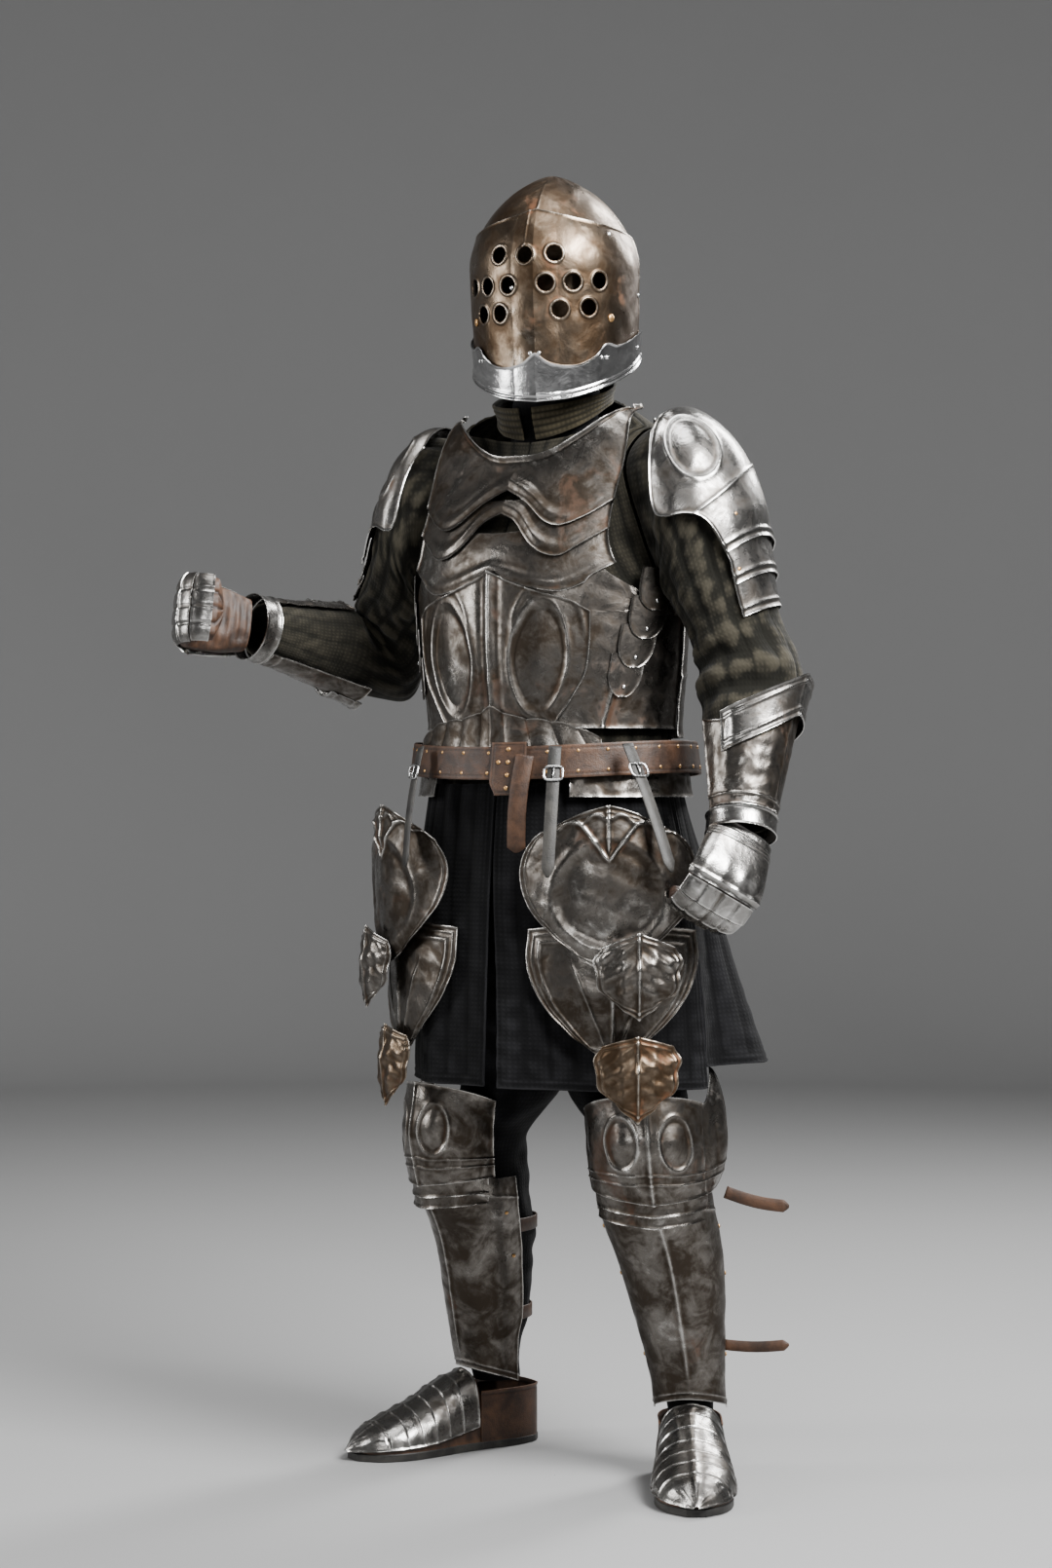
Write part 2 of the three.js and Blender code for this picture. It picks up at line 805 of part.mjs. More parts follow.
const tassets = {
  left: { side: 1, face: 31, x: 176, y: -146, leafX: 228, leafY: -152, kneeX: 226, kneeY: -152 },
  right: { side: -1, face: -34, x: -174, y: -142, leafX: -214, leafY: -136, kneeX: -184, kneeY: -138 },
};
for (const [name, { side, face, x, y, leafX, leafY, kneeX, kneeY }] of Object.entries(tassets)) {
  const ahead = v3(sin(face * deg), -cos(face * deg), 0);
  const put = (px, py, z, out) => v3(px, py, z).addScaledVector(ahead, out);
  add(
    "tasset_upper_" + name,
    plate({
      centre: put(x, y, 970, 34),
      face,
      tip: 2,
      half: 138,
      high: 226,
      bend: 165,
      bulge: 8,
      shape: shield,
      top: (u) => 34 * abs(u) ** 1.4,
      foot: (u) => 20 * u * u,
      n: [8, 6],
    }),
    "steel",
  );
  add(
    "tasset_lower_" + name,
    plate({
      centre: put(x + 6, y, 806, 8),
      face,
      half: 126,
      high: 192,
      bend: 200,
      shape: wide,
      top: (u) => 8 * u * u,
      foot: (u) => 20 * u * u,
      n: [8, 5],
    }),
    "steel",
  );
  add(
    "tasset_leaf_upper_" + name,
    plate({
      centre: put(leafX, leafY, 796, 26),
      face: face + 4 * side,
      half: 66,
      high: 118,
      bend: 90,
      shape: leaf,
      top: (u) => 20 * abs(u),
      foot: (u) => 26 * abs(u),
    }),
    "steel",
  );
  add(
    "tasset_leaf_lower_" + name,
    plate({
      centre: put(kneeX, kneeY, 655, 22),
      face: face + 2 * side,
      half: 64,
      high: 118,
      bend: 90,
      shape: leaf,
      top: (u) => 14 * abs(u),
      foot: (u) => 30 * abs(u),
    }),
    "rustySteel",
  );
}
const hanger = (top, foot, width) =>
  patch((w, t) => top.clone().lerp(foot, t).add(v3(w * width, w * width * 0.5, 0)), 1, 5, [-0.5, 0.5], [0, 1]);
add("tasset_strap_left_inner", wall(hanger(v3(108, -176, 1052), v3(126, -226, 872), 17), 2.4), "darkLeather");
add("tasset_strap_left_outer", wall(hanger(v3(192, -122, 1056), v3(276, -146, 880), 17), 2.4), "darkLeather");
add("tasset_strap_right", wall(hanger(v3(-122, -166, 1052), v3(-112, -220, 884), 17), 2.4), "darkLeather");

// ---- Helmet ----
// Egg-shaped skull: sections below its widest level from a table, an ogive above it.
const widest = 1736;
const helmetTable = [
  [1530, 106, 124, 96],
  [1570, 110, 129, 106],
  [1620, 113, 133, 115],
  [1680, 116, 135, 120],
  [1736, 117.5, 134, 122],
];
const spin = new THREE.Matrix4()
  .makeTranslation(7, -6, 1600)
  .multiply(new THREE.Matrix4().makeRotationZ(faceTurn * deg))
  .multiply(new THREE.Matrix4().makeRotationX(faceNod * deg))
  .multiply(new THREE.Matrix4().makeTranslation(0, 0, -1600));
const helmetAt = (theta, z, out = 0) => {
  const rise = clamp((z - widest) / (apexHeight - widest));
  const narrow = (1 - rise ** 2) ** 0.66;
  const [, half, front, back] = row(helmetTable, min(z, widest));
  const keel = 6 * max(0, 1 - abs(Math.atan2(sin(theta), cos(theta))) / (16 * deg)) * narrow;
  const deep = (cos(theta) > 0 ? front : back) + keel;
  return v3(
    (half + out) * narrow * sin(theta),
    -(deep + out) * narrow * cos(theta),
    z + out * rise ** 2,
  ).applyMatrix4(spin);
};
const angleOf = (theta) => abs(Math.atan2(sin(theta), cos(theta))) / deg;
const rimTable = [
  [0, 1557],
  [25, 1562],
  [50, 1576],
  [75, 1594],
  [101, 1612],
  [140, 1600],
  [180, 1584],
];
const rim = (theta) => curve(rimTable)(angleOf(theta));
const brow = (theta) => mix(1812 - 0.5 * angleOf(theta), rim(theta), ease((angleOf(theta) - 84) / 14));
const turnOf = (s) => 2 * PI * s;
add(
  "helmet_skull",
  wall(hoop(helmetAt, 28, 7, [(s) => brow(turnOf(s)), apexHeight]), plateWall, true),
  "rustySteel",
);
// Breaths of the face plate: [degrees from the keel, height].
const breaths = [
  [-26, 1759],
  [-5.5, 1757],
  [14, 1758],
  [-54, 1716],
  [-37, 1716],
  [-18.5, 1716],
  [8, 1717],
  [26, 1718],
  [45, 1719],
  [-43, 1677],
  [-26, 1677],
  [17, 1680],
  [37, 1682],
];
const visorRows = patch(
  (theta, z) => helmetAt(theta, z, 3.8),
  20,
  7,
  [-96 * deg, 96 * deg],
  [(s) => rim(mix(-96, 96, s) * deg) + 2, (s) => brow(mix(-80, 80, s) * deg) + 8],
);
let visor = toSolid(wall(visorRows, plateWall));
for (const [angle, z] of breaths) {
  const p = helmetAt(angle * deg, z, 3);
  const q = helmetAt(angle * deg, z, 23);
  const bore = new THREE.CylinderGeometry(breathRadius, breathRadius, 40, 12);
  bore.applyQuaternion(new THREE.Quaternion().setFromUnitVectors(v3(0, 1, 0), unit(q.sub(p))));
  visor = visor.subtract(toSolid(bore.translate(...p.toArray())));
}
add("helmet_visor", toGeometry(visor), "rustySteel");
const cusp = (theta) => {
  const angle = abs(theta) / deg;
  return curve([
    [0, 64],
    [10, 48],
    [28, 40],
    [42, 45],
    [50, 56],
    [60, 46],
    [86, 42],
    [104, 38],
  ])(angle);
};
add(
  "helmet_band",
  wall(
    patch(
      (theta, t) => helmetAt(theta, rim(theta) - 4 + t * (cusp(theta) + 4), 7.4),
      24,
      1,
      [-104 * deg, 104 * deg],
      [0, 1],
    ),
    plateWall,
  ),
  "brightSteel",
);

// ---- Shoulders ----
// Each plate is the sleeve's surface moved outwards, between two rows of its table and two angles
// from the outer side toward the front.
for (const [name, arm] of Object.entries(arms)) {
  const surface = tube(arm.rings);
  const shell = (out) => (phi, t) => surface(phi, t, value(out, t));
  const mainFront = curve([[0.4, 36], [1.2, 88], [2, 88], [3, 60], [4, 46]]);
  const mainBack = curve([[0.4, -46], [1.2, -84], [2, -92], [4, -88]]);
  const edges = [(t) => mainBack(t) * deg, (t) => mainFront(t) * deg];
  add(
    "pauldron_" + name,
    wall(patch(shell((t) => 16 - 3 * max(0, t - 2)), 12, 6, edges, [0.5, (s) => 3.55 + 0.3 * s]), 1.6),
    "steel",
  );
  add(
    "pauldron_lame_1_" + name,
    wall(patch(shell(7.6), 12, 2, edges, [3.2, (s) => 4.15 + 0.3 * s]), plateWall),
    "steel",
  );
  add(
    "pauldron_lame_2_" + name,
    wall(patch(shell(4.2), 12, 2, edges, [(s) => 3.9 + 0.2 * s, (s) => 4.7 + 0.35 * s]), plateWall),
    "steel",
  );
}

// ---- Forearms and hands ----
const hands = {
  left: {
    aim: v3(-5, -60, -84),
    back: v3(0.75, -0.45, 0.3),
    path: [
      [0, 0, 0, 40, 26],
      [1, 38, 4, 47, 22],
      [2, 78, 8, 50, 18],
      [3, 106, -6, 49, 14],
      [4, 115, -31, 47, 13],
      [5, 104, -56, 45, 12.5],
      [6, 80, -66, 43, 12],
    ],
  },
  right: {
    aim: v3(-36, -92, 17),
    back: v3(-0.925, 0.283, -0.067),
    path: [
      [0, 0, 0, 38, 24],
      [1, 40, 5, 47, 20],
      [2, 78, 12, 50, 15],
      [3, 103, 2, 49, 13.5],
      [4, 113, -23, 48, 13],
      [5, 103, -48, 46, 12.5],
      [6, 78, -58, 44, 12],
    ],
  },
};
for (const [name, arm] of Object.entries(arms)) {
  const hand = hands[name];
  const { along, out: outer, front } = arm;
  // Round the forearm, u millimetres from the elbow.
  const forearm = (table) => (phi, u) => {
    const [, radius, shift] = row(table, u);
    return arm.elbow
      .clone()
      .addScaledVector(along, u)
      .addScaledVector(outer, radius * cos(phi) + shift)
      .addScaledVector(front, radius * sin(phi));
  };
  const vambraceTable = [
    [20, 78, 1],
    [78, 68.5, 0],
    [130, 60.5, 0],
    [178, 53, 0],
    [222, 47, 0],
  ];
  const crease = (phi) => 52 * clamp(sin(phi)); // clear of the bend at the elbow
  const down = (low) => (phi, t) => forearm(vambraceTable)(phi, mix(low(phi), 212, t));
  add(
    "vambrace_" + name,
    wall(patch(down((phi) => 40 + crease(phi)), 14, 4, [-128 * deg, 128 * deg], [0, 1]), plateWall),
    "steel",
  );
  const couterAt = (phi, t) =>
    forearm(vambraceTable)(phi, mix(26 - 18 * cos(phi) + crease(phi), 84 - 14 * cos(phi) + crease(phi), t))
      .addScaledVector(outer, 4 * cos(phi))
      .addScaledVector(front, 4 * sin(phi));
  add("couter_" + name, wall(patch(couterAt, 12, 2, [-100 * deg, 100 * deg], [0, 1]), plateWall), "steel");

  // Glove: a flat tube that follows the back of the hand and curls round the fingers.
  const aim = unit(hand.aim);
  const back = square(hand.back, aim);
  const thumb = aim.clone().cross(back).multiplyScalar(arm.side);
  const handAt = (phi, t, out = 0) => {
    const [, d, b, wide_, thick] = row(hand.path, t);
    const [, d1, b1] = row(hand.path, min(6, t + 0.05));
    const [, d0, b0] = row(hand.path, max(0, t - 0.05));
    const ahead = v3(d1 - d0, b1 - b0, 0).normalize();
    const soft = (x) => Math.sign(x) * abs(x) ** 0.72;
    const lift = (thick + out) * soft(cos(phi));
    return arm.wrist
      .clone()
      .addScaledVector(aim, d - ahead.y * lift)
      .addScaledVector(back, b + ahead.x * lift)
      .addScaledVector(thumb, (wide_ + out) * soft(sin(phi)));
  };
  const gloveRows = hoop(handAt, 12, 9, [0.12, 6]);
  const tip = v3(0, 0, 0);
  for (const p of gloveRows.at(-1)) tip.addScaledVector(p, 1 / 12);
  gloveRows.push(gloveRows.at(-1).map(() => tip.clone().addScaledVector(aim, -6)));
  add("glove_" + name, wall(gloveRows, 2, true), "leather");
  add(
    "gauntlet_" + name,
    wall(patch((phi, t) => handAt(phi, t, 3.5), 8, 8, [-80 * deg, 80 * deg], [0.2, 5.4]), 1.2),
    "brightSteel",
  );
}

group.position.z = -shoulderHeight;
group.updateMatrixWorld(true);
export default group;
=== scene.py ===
# The looks of a suit of worn plate armour over quilted arming clothes.
# Shapes are worked out in millimetres above the floor, and every mesh is put into the frame's metres.
import bmesh
import bpy
import numpy as np
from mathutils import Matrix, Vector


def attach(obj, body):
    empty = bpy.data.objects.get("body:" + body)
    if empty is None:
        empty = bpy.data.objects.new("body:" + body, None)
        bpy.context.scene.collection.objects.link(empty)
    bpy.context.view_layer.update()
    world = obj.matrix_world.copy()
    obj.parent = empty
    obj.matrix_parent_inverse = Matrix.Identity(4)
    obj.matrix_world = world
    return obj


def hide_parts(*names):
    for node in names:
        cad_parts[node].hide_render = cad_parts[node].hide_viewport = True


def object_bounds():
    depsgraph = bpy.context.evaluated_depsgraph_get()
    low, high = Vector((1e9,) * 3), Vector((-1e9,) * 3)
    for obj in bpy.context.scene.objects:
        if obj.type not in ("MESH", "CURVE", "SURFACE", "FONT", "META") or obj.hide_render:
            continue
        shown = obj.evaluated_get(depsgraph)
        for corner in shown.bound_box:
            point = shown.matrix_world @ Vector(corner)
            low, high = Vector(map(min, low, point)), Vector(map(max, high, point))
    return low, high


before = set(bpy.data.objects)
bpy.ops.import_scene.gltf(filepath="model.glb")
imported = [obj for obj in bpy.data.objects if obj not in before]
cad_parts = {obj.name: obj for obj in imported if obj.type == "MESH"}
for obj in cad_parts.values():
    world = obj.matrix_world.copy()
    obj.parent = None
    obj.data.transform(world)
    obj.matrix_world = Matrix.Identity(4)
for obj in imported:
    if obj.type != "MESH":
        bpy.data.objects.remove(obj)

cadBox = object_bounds()
floorLevel = cadBox[0][2]  # metres; the soles stand on it
pi = np.pi
deg = pi / 180
sides = {"left": 1, "right": -1}


# ---- camera ----
camera = {
    "azimuth": 32,  # degrees round from the front, toward the figure's left
    "distance": 4.5,
    "height": 1.0,
    "aside": -0.042,
    "lens": 71.4,
}


def addCamera():
    a = camera["azimuth"] * deg
    eye = bpy.data.objects.new("camera", bpy.data.cameras.new("camera"))
    eye.data.lens = camera["lens"]
    eye.location = (
        camera["aside"] * np.cos(a) + camera["distance"] * np.sin(a),
        camera["aside"] * np.sin(a) - camera["distance"] * np.cos(a),
        floorLevel + camera["height"],
    )
    eye.rotation_euler = (pi / 2, 0, a)
    bpy.context.scene.collection.objects.link(eye)
    bpy.context.scene.camera = eye


addCamera()


# ---- numbers and grids ----
def rowsAt(table, x):
    # rows of a table at every x: cubics through the rows, each row's slope its neighbours' chord
    table = np.array(table, float)
    x = np.asarray(x, float)
    last = len(table) - 1
    i = np.searchsorted(table[1:last, 0], x, side="left")
    chord = np.array(
        [
            (table[min(k + 1, last)] - table[max(k - 1, 0)])
            / (table[min(k + 1, last), 0] - table[max(k - 1, 0), 0])
            for k in range(last + 1)
        ]
    )
    span = (table[i + 1, 0] - table[i, 0])[..., None]
    s = np.clip((x[..., None] - table[i, 0][..., None]) / span, 0, 1)
    return (
        (2 * s**3 - 3 * s * s + 1) * table[i]
        + (s**3 - 2 * s * s + s) * chord[i] * span
        + (3 * s * s - 2 * s**3) * table[i + 1]
        + (s**3 - s * s) * chord[i + 1] * span
    )


def curveAt(table, x):
    return rowsAt(table, x)[..., 1]


def ease(t):
    t = np.clip(t, 0, 1)
    return t * t * (3 - 2 * t)


def bump(x, width):
    # a rounded ridge, 1 at x = 0
    return np.exp(-((x / width) ** 2))


def mix(a, b, t):
    return a + (b - a) * t


def xyz(x, y, z):
    return np.stack(np.broadcast_arrays(x, y, z), -1).astype(float)


def unit(v):
    return v / np.maximum(np.linalg.norm(v, axis=-1, keepdims=True), 1e-9)


def waves(x, y, size, seed, count=9):
    # smooth random relief, about -1 to 1: sines of about one size in random directions
    random = np.random.default_rng(seed)
    turn, start = random.uniform(0, 2 * pi, (2, count))
    pitch = random.uniform(0.7, 1.5, count) * 2 * pi / size
    total = sum(
        np.sin(p * (x * np.cos(a) + y * np.sin(a)) + b) for p, a, b in zip(pitch, turn, start)
    )
    return total / count**0.5 / 1.3


def valueOf(edge, x):
    return edge(x) if callable(edge) else edge


def patch(at, across, up, uEdges, vEdges):
    # points of at(u, v) between side edges (functions of v) and low and high edges (of the share across)
    s, t = np.meshgrid(np.linspace(0, 1, across + 1), np.linspace(0, 1, up + 1))
    v = mix(valueOf(vEdges[0], s), valueOf(vEdges[1], s), t)
    u = mix(valueOf(uEdges[0], v), valueOf(uEdges[1], v), s)
    return at(u, v), u, v


def hoop(at, around, up, vEdges):
    # the same all the way round, without a second seam column
    s, t = np.meshgrid(np.linspace(0, 1, around + 1)[:-1], np.linspace(0, 1, up + 1))
    v = mix(valueOf(vEdges[0], s), valueOf(vEdges[1], s), t)
    u = 2 * pi * s
    return at(u, v), u, v


def normalsOf(points, wrap=False, inside=None):
    # unit cross product of the steps across and up, turned away from the middle
    if wrap:
        across = np.roll(points, -1, 1) - np.roll(points, 1, 1)
    else:
        across = np.gradient(points, axis=1)
    normal = np.cross(across, np.gradient(points, axis=0))
    middle = points.mean((0, 1)) if inside is None else np.array(inside, float)
    outward = unit(points - middle)
    size = np.linalg.norm(normal, axis=-1, keepdims=True)
    turn = 1.0 if (normal * outward).sum() >= 0 else -1.0
    return np.where(size > 1e-7, turn * normal / np.maximum(size, 1e-9), outward), turn


def borderDistances(points):
    # millimetres along the grid's lines to its left, right, low and high edges
    rowSteps = np.linalg.norm(np.diff(points, axis=1), axis=-1)
    columnSteps = np.linalg.norm(np.diff(points, axis=0), axis=-1)
    left = np.concatenate([np.zeros((len(points), 1)), np.cumsum(rowSteps, 1)], 1)
    low = np.concatenate([np.zeros((1, points.shape[1])), np.cumsum(columnSteps, 0)], 0)
    return left, left[:, -1:] - left, low, low[-1:] - low


def blurred(field, rounds, wrap):
    for _ in range(rounds):
        tall = np.pad(field, ((1, 1), (0, 0)), "edge")
        field = (tall[:-2] + field + tall[2:]) / 3
        wide = np.pad(field, ((0, 0), (1, 1)), "wrap" if wrap else "edge")
        field = (wide[:, :-2] + field + wide[:, 2:]) / 3
    return field


# ---- meshes ----
def intoFrame(points):
    return points / 1000 + np.array([0, 0, floorLevel])


def newObject(name, points, faces, slot, material, smooth=True):
    mesh = bpy.data.meshes.new(name)
    faces = np.asarray(faces)
    mesh.vertices.add(len(points))
    mesh.vertices.foreach_set("co", intoFrame(points).astype(np.float32).ravel())
    mesh.loops.add(faces.size)
    mesh.loops.foreach_set("vertex_index", faces.astype(np.int32).ravel())
    mesh.polygons.add(len(faces))
    mesh.polygons.foreach_set("loop_start", np.arange(len(faces), dtype=np.int32) * faces.shape[1])
    mesh.polygons.foreach_set("use_smooth", np.full(len(faces), smooth))
    mesh.update(calc_edges=True)
    mesh.materials.append(material)
    piece = bpy.data.objects.new(name, mesh)
    bpy.context.scene.collection.objects.link(piece)
    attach(piece, "root")
    return piece


def setField(piece, name, values):
    field = piece.data.attributes.new(name, "FLOAT", "POINT")
    field.data.foreach_set("value", values.astype(np.float32).ravel())


def sharpBorders(mesh):
    # the open edges keep a crisp corner once the wall has its thickness
    corners = np.zeros(len(mesh.loops), np.int32)
    mesh.loops.foreach_get("edge_index", corners)
    single = np.bincount(corners, minlength=len(mesh.edges)) == 1
    field = mesh.attributes.new("sharp_edge", "BOOLEAN", "EDGE")
    field.data.foreach_set("value", single)


def skin(
    name,
    points,
    slot,
    material,
    wall,
    node=None,
    wrap=False,
    relief=None,
    inside=None,
    wear_and_relief_shading=None,
    keep=None,
    blur=10,
):
    # A wall over a grid: the points moved out along their normals by the relief, with a field of wear and
    # relief shading from how far each place stands above its surroundings and how near it is to an edge.
    normal, turn = normalsOf(points, wrap, inside)
    height = np.zeros(points.shape[:2]) if relief is None else np.broadcast_to(relief, points.shape[:2])
    surface = points + normal * height[..., None]
    tall, wide = surface.shape[:2]
    i, j = np.meshgrid(np.arange(wide if wrap else wide - 1), np.arange(tall - 1))
    k = (i + 1) % wide
    quads = np.stack([j * wide + i, j * wide + k, (j + 1) * wide + k, (j + 1) * wide + i], -1)
    uvQuads = np.stack([[i, j], [i + 1, j], [i + 1, j + 1], [i, j + 1]], 0)  # corner, axis, row, column
    if turn < 0:
        quads = quads[..., ::-1]
        uvQuads = uvQuads[::-1]
    quads = quads.reshape(-1, 4)
    uvQuads = uvQuads.transpose(2, 3, 0, 1).reshape(-1, 4, 2)
    if keep is not None:
        quads, uvQuads = quads[keep.ravel()], uvQuads[keep.ravel()]
    piece = newObject(name, surface.reshape(-1, 3), quads, slot, material)
    left, right, low, high = borderDistances(surface)
    pitchAcross = left[:, -1].mean() / (wide - 1)
    pitchUp = low[-1].mean() / (tall - 1)
    uv = piece.data.uv_layers.new(name="cut")
    uv.data.foreach_set(
        "uv",
        (uvQuads * np.array([pitchAcross, pitchUp]) / 1000).astype(np.float32).ravel(),
    )
    nearest = np.minimum(low, high) if wrap else np.minimum(np.minimum(left, right), np.minimum(low, high))
    # raised places come out positive and hollows negative: rubbed wear on the steel and leather, painted
    # highlight on ridges and painted shade in hollows on the cloth; nearness to an edge is added as rubbed
    # wear
    proud = height - blurred(height, blur, wrap)
    worn = np.clip(proud / 1.1, -1, 1) * 0.8 + bump(nearest, 1.6) * 0.45
    if wear_and_relief_shading is not None:
        worn = worn + wear_and_relief_shading
    setField(piece, "wear_and_relief_shading", np.clip(worn, -1, 1.2))
    if keep is not None:
        dropLoose(piece.data)
    sharpBorders(piece.data)
    if wall:
        solid = piece.modifiers.new("wall", "SOLIDIFY")
        solid.thickness = wall / 1000
        solid.offset = -1
    if node:
        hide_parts(*([node] if isinstance(node, str) else node))
    return piece


def dropLoose(mesh):
    work = bmesh.new()
    work.from_mesh(mesh)
    loose = [v for v in work.verts if not v.link_faces]
    bmesh.ops.delete(work, geom=loose, context="VERTS")
    work.to_mesh(mesh)
    work.free()


def sweep(path, sideways, profile, closed=False):
    # a profile (across, out) carried along a path; sideways points across it at every step
    path = np.asarray(path, float)
    if closed:
        ahead = np.roll(path, -1, 0) - np.roll(path, 1, 0)
    else:
        ahead = np.gradient(path, axis=0)
    ahead = unit(ahead)
    across = np.asarray(sideways, float) * np.ones_like(path)
    across = unit(across - (across * ahead).sum(-1, keepdims=True) * ahead)
    out = np.cross(ahead, across)
    profile = np.asarray(profile, float)
    if profile.ndim == 2:
        profile = np.broadcast_to(profile, (len(path), *profile.shape))
    return path[:, None] + profile[..., :1] * across[:, None] + profile[..., 1:] * out[:, None]


def ringFaces(count, around, closed=False, caps=True):
    # quads along a tube of rings, with its ends closed by quads to each ring's first corners
    j, i = np.meshgrid(np.arange(count if closed else count - 1), np.arange(around), indexing="ij")
    k = (i + 1) % around
    m = (j + 1) % count
    quads = np.stack([j * around + i, j * around + k, m * around + k, m * around + i], -1).reshape(-1, 4)
    if closed or not caps:
        return quads
    half = np.arange(around // 2 - 1)
    ends = []
    for base, turn in ((0, -1), ((count - 1) * around, 1)):
        end = np.stack([half, half + 1, around - 2 - half, around - 1 - half], -1) + base
        ends.append(end[:, ::turn])
    return np.concatenate([quads, *ends])


def joined(parts):
    # (points, faces) of several meshes as one
    start = np.cumsum([0] + [len(p) for p, _ in parts])
    return (
        np.concatenate([p for p, _ in parts]),
        np.concatenate([f + s for (_, f), s in zip(parts, start)]),
    )


def outwardFaces(points, faces):
    # turned over when the enclosed volume comes out negative
    a, b, c, d = (points[faces[:, k]] for k in range(4))
    volume = (a * np.cross(b, c)).sum() + (a * np.cross(c, d)).sum()
    return faces if volume >= 0 else faces[:, ::-1]


def tube(path, radius, around=10, closed=False, sideways=None):
    path = np.asarray(path, float)
    angle = np.linspace(0, 2 * pi, around, endpoint=False)
    radius = np.broadcast_to(radius, (len(path),))
    ring = np.stack([np.cos(angle), np.sin(angle)], -1)[None] * radius[:, None, None]
    if sideways is None:
        spread = np.ptp(path, axis=0)
        sideways = np.eye(3)[int(np.argmin(spread))]
    rings = sweep(path, sideways, ring, closed)
    points = rings.reshape(-1, 3)
    return points, outwardFaces(points - points.mean(0), ringFaces(len(path), around, closed))


def bandParts(path, sideways, width, thick, taper=None, corner=0.9):
    # a flat strap: a rounded oblong carried along a path, its width by a share at every step
    path = np.asarray(path, float)
    share = np.ones(len(path)) if taper is None else np.asarray(taper, float)
    w, h = width / 2, thick / 2
    shape = np.array(
        [[-w, -h + corner], [-w + corner, -h], [w - corner, -h], [w, -h + corner]]
        + [[w, h - corner], [w - corner, h], [-w + corner, h], [-w, h - corner]]
    )
    profile = shape[None] * np.stack([share, np.ones_like(share)], -1)[:, None]
    points = sweep(path, sideways, profile).reshape(-1, 3)
    return points, outwardFaces(points - points.mean(0), ringFaces(len(path), 8))


def pointedEnd(count, tip=4):
    # full width, then a pointed end over the last steps
    share = np.ones(count)
    share[-tip:] = np.linspace(1, 0.12, tip) ** 0.7
    return share


def domeParts(point, normal, radius, high):
    # a rivet's head: a low dome with its rim a little inside the surface
    rise = np.linspace(0, pi / 2, 5)
    angle = np.linspace(0, 2 * pi, 12, endpoint=False)
    normal = unit(np.asarray(normal, float))
    side = unit(np.cross(normal, [0.31, 0.12, 0.94]))
    other = np.cross(normal, side)
    r, a = np.meshgrid(rise, angle, indexing="ij")
    lift = np.where(r == 0, -0.6, high * np.sin(r))
    wide = radius * np.maximum(np.cos(r), 0.04)
    points = (
        np.asarray(point, float)
        + (wide * np.cos(a))[..., None] * side
        + (wide * np.sin(a))[..., None] * other
        + lift[..., None] * normal
    ).reshape(-1, 3)
    return points, outwardFaces(points - points.mean(0), ringFaces(5, 12))


def meshPiece(name, parts, slot, material, node=None, wear_and_relief_shading=0.0, smooth=True):
    points, faces = joined(parts)
    piece = newObject(name, points, faces, slot, material, smooth)
    setField(piece, "wear_and_relief_shading", np.full(len(points), wear_and_relief_shading))
    if node:
        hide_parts(*([node] if isinstance(node, str) else node))
    return piece


def onSurface(at, u, v, out=0.0, inside=None):
    # point and outward normal of a surface at (u, v), by small steps
    step = 1e-3
    corner = lambda a, b: at(np.array(u + a * step), np.array(v + b * step * 50))
    grid = np.array([[corner(a, b) for a in (0, 1)] for b in (0, 1)])
    normal = unit(np.cross(grid[0, 1] - grid[0, 0], grid[1, 0] - grid[0, 0]))
    middle = np.array([0, 0, grid[0, 0][2]] if inside is None else inside, float)
    if normal @ (grid[0, 0] - middle) < 0:
        normal = -normal
    return grid[0, 0] + normal * out, normal


# ---- finishes ----
def newMaterial(name):
    material = bpy.data.materials.new(name)
    material.use_nodes = True
    material.node_tree.nodes.clear()
    return material, material.node_tree


def node(tree, kind, inputs=None, **settings):
    # a shader node; an input may be a value or another node's socket
    made = tree.nodes.new("ShaderNode" + kind)
    for key, setting in settings.items():
        setattr(made, key, setting)
    for key, given in (inputs or {}).items():
        if isinstance(given, bpy.types.NodeSocket):
            tree.links.new(given, made.inputs[key])
        else:
            made.inputs[key].default_value = given
    return made


def maths(tree, operation, a, b=0.0, clamp=False):
    return node(tree, "Math", {0: a, 1: b}, operation=operation, use_clamp=clamp).outputs[0]


def between(tree, x, low, high, toLow=0.0, toHigh=1.0):
    inputs = {"Value": x, "From Min": low, "From Max": high, "To Min": toLow, "To Max": toHigh}
    return node(tree, "MapRange", inputs, interpolation_type="SMOOTHSTEP").outputs[0]


def colours(tree, share, a, b, blend="MIX"):
    made = node(tree, "Mix", data_type="RGBA", blend_type=blend)
    for index, given in ((0, share), (6, a), (7, b)):
        if isinstance(given, bpy.types.NodeSocket):
            tree.links.new(given, made.inputs[index])
        else:
            made.inputs[index].default_value = (*given, 1) if isinstance(given, tuple) else given
    return made.outputs[2]


def noise(tree, where, scale, detail=6.0, rough=0.6, twist=0.0):
    inputs = {"Vector": where, "Scale": scale, "Detail": detail, "Roughness": rough, "Distortion": twist}
    return node(tree, "TexNoise", inputs).outputs["Fac"]


def field(tree, name):
    return node(tree, "Attribute", attribute_name=name).outputs["Fac"]


def finished(tree, inputs, height=None, reach=0.001, strength=0.3):
    shader = node(tree, "BsdfPrincipled", inputs)
    if height is not None:
        rough = {"Height": height, "Distance": reach, "Strength": strength}
        tree.links.new(node(tree, "Bump", rough).outputs[0], shader.inputs["Normal"])
    output = node(tree, "OutputMaterial")
    tree.links.new(shader.outputs[0], output.inputs["Surface"])


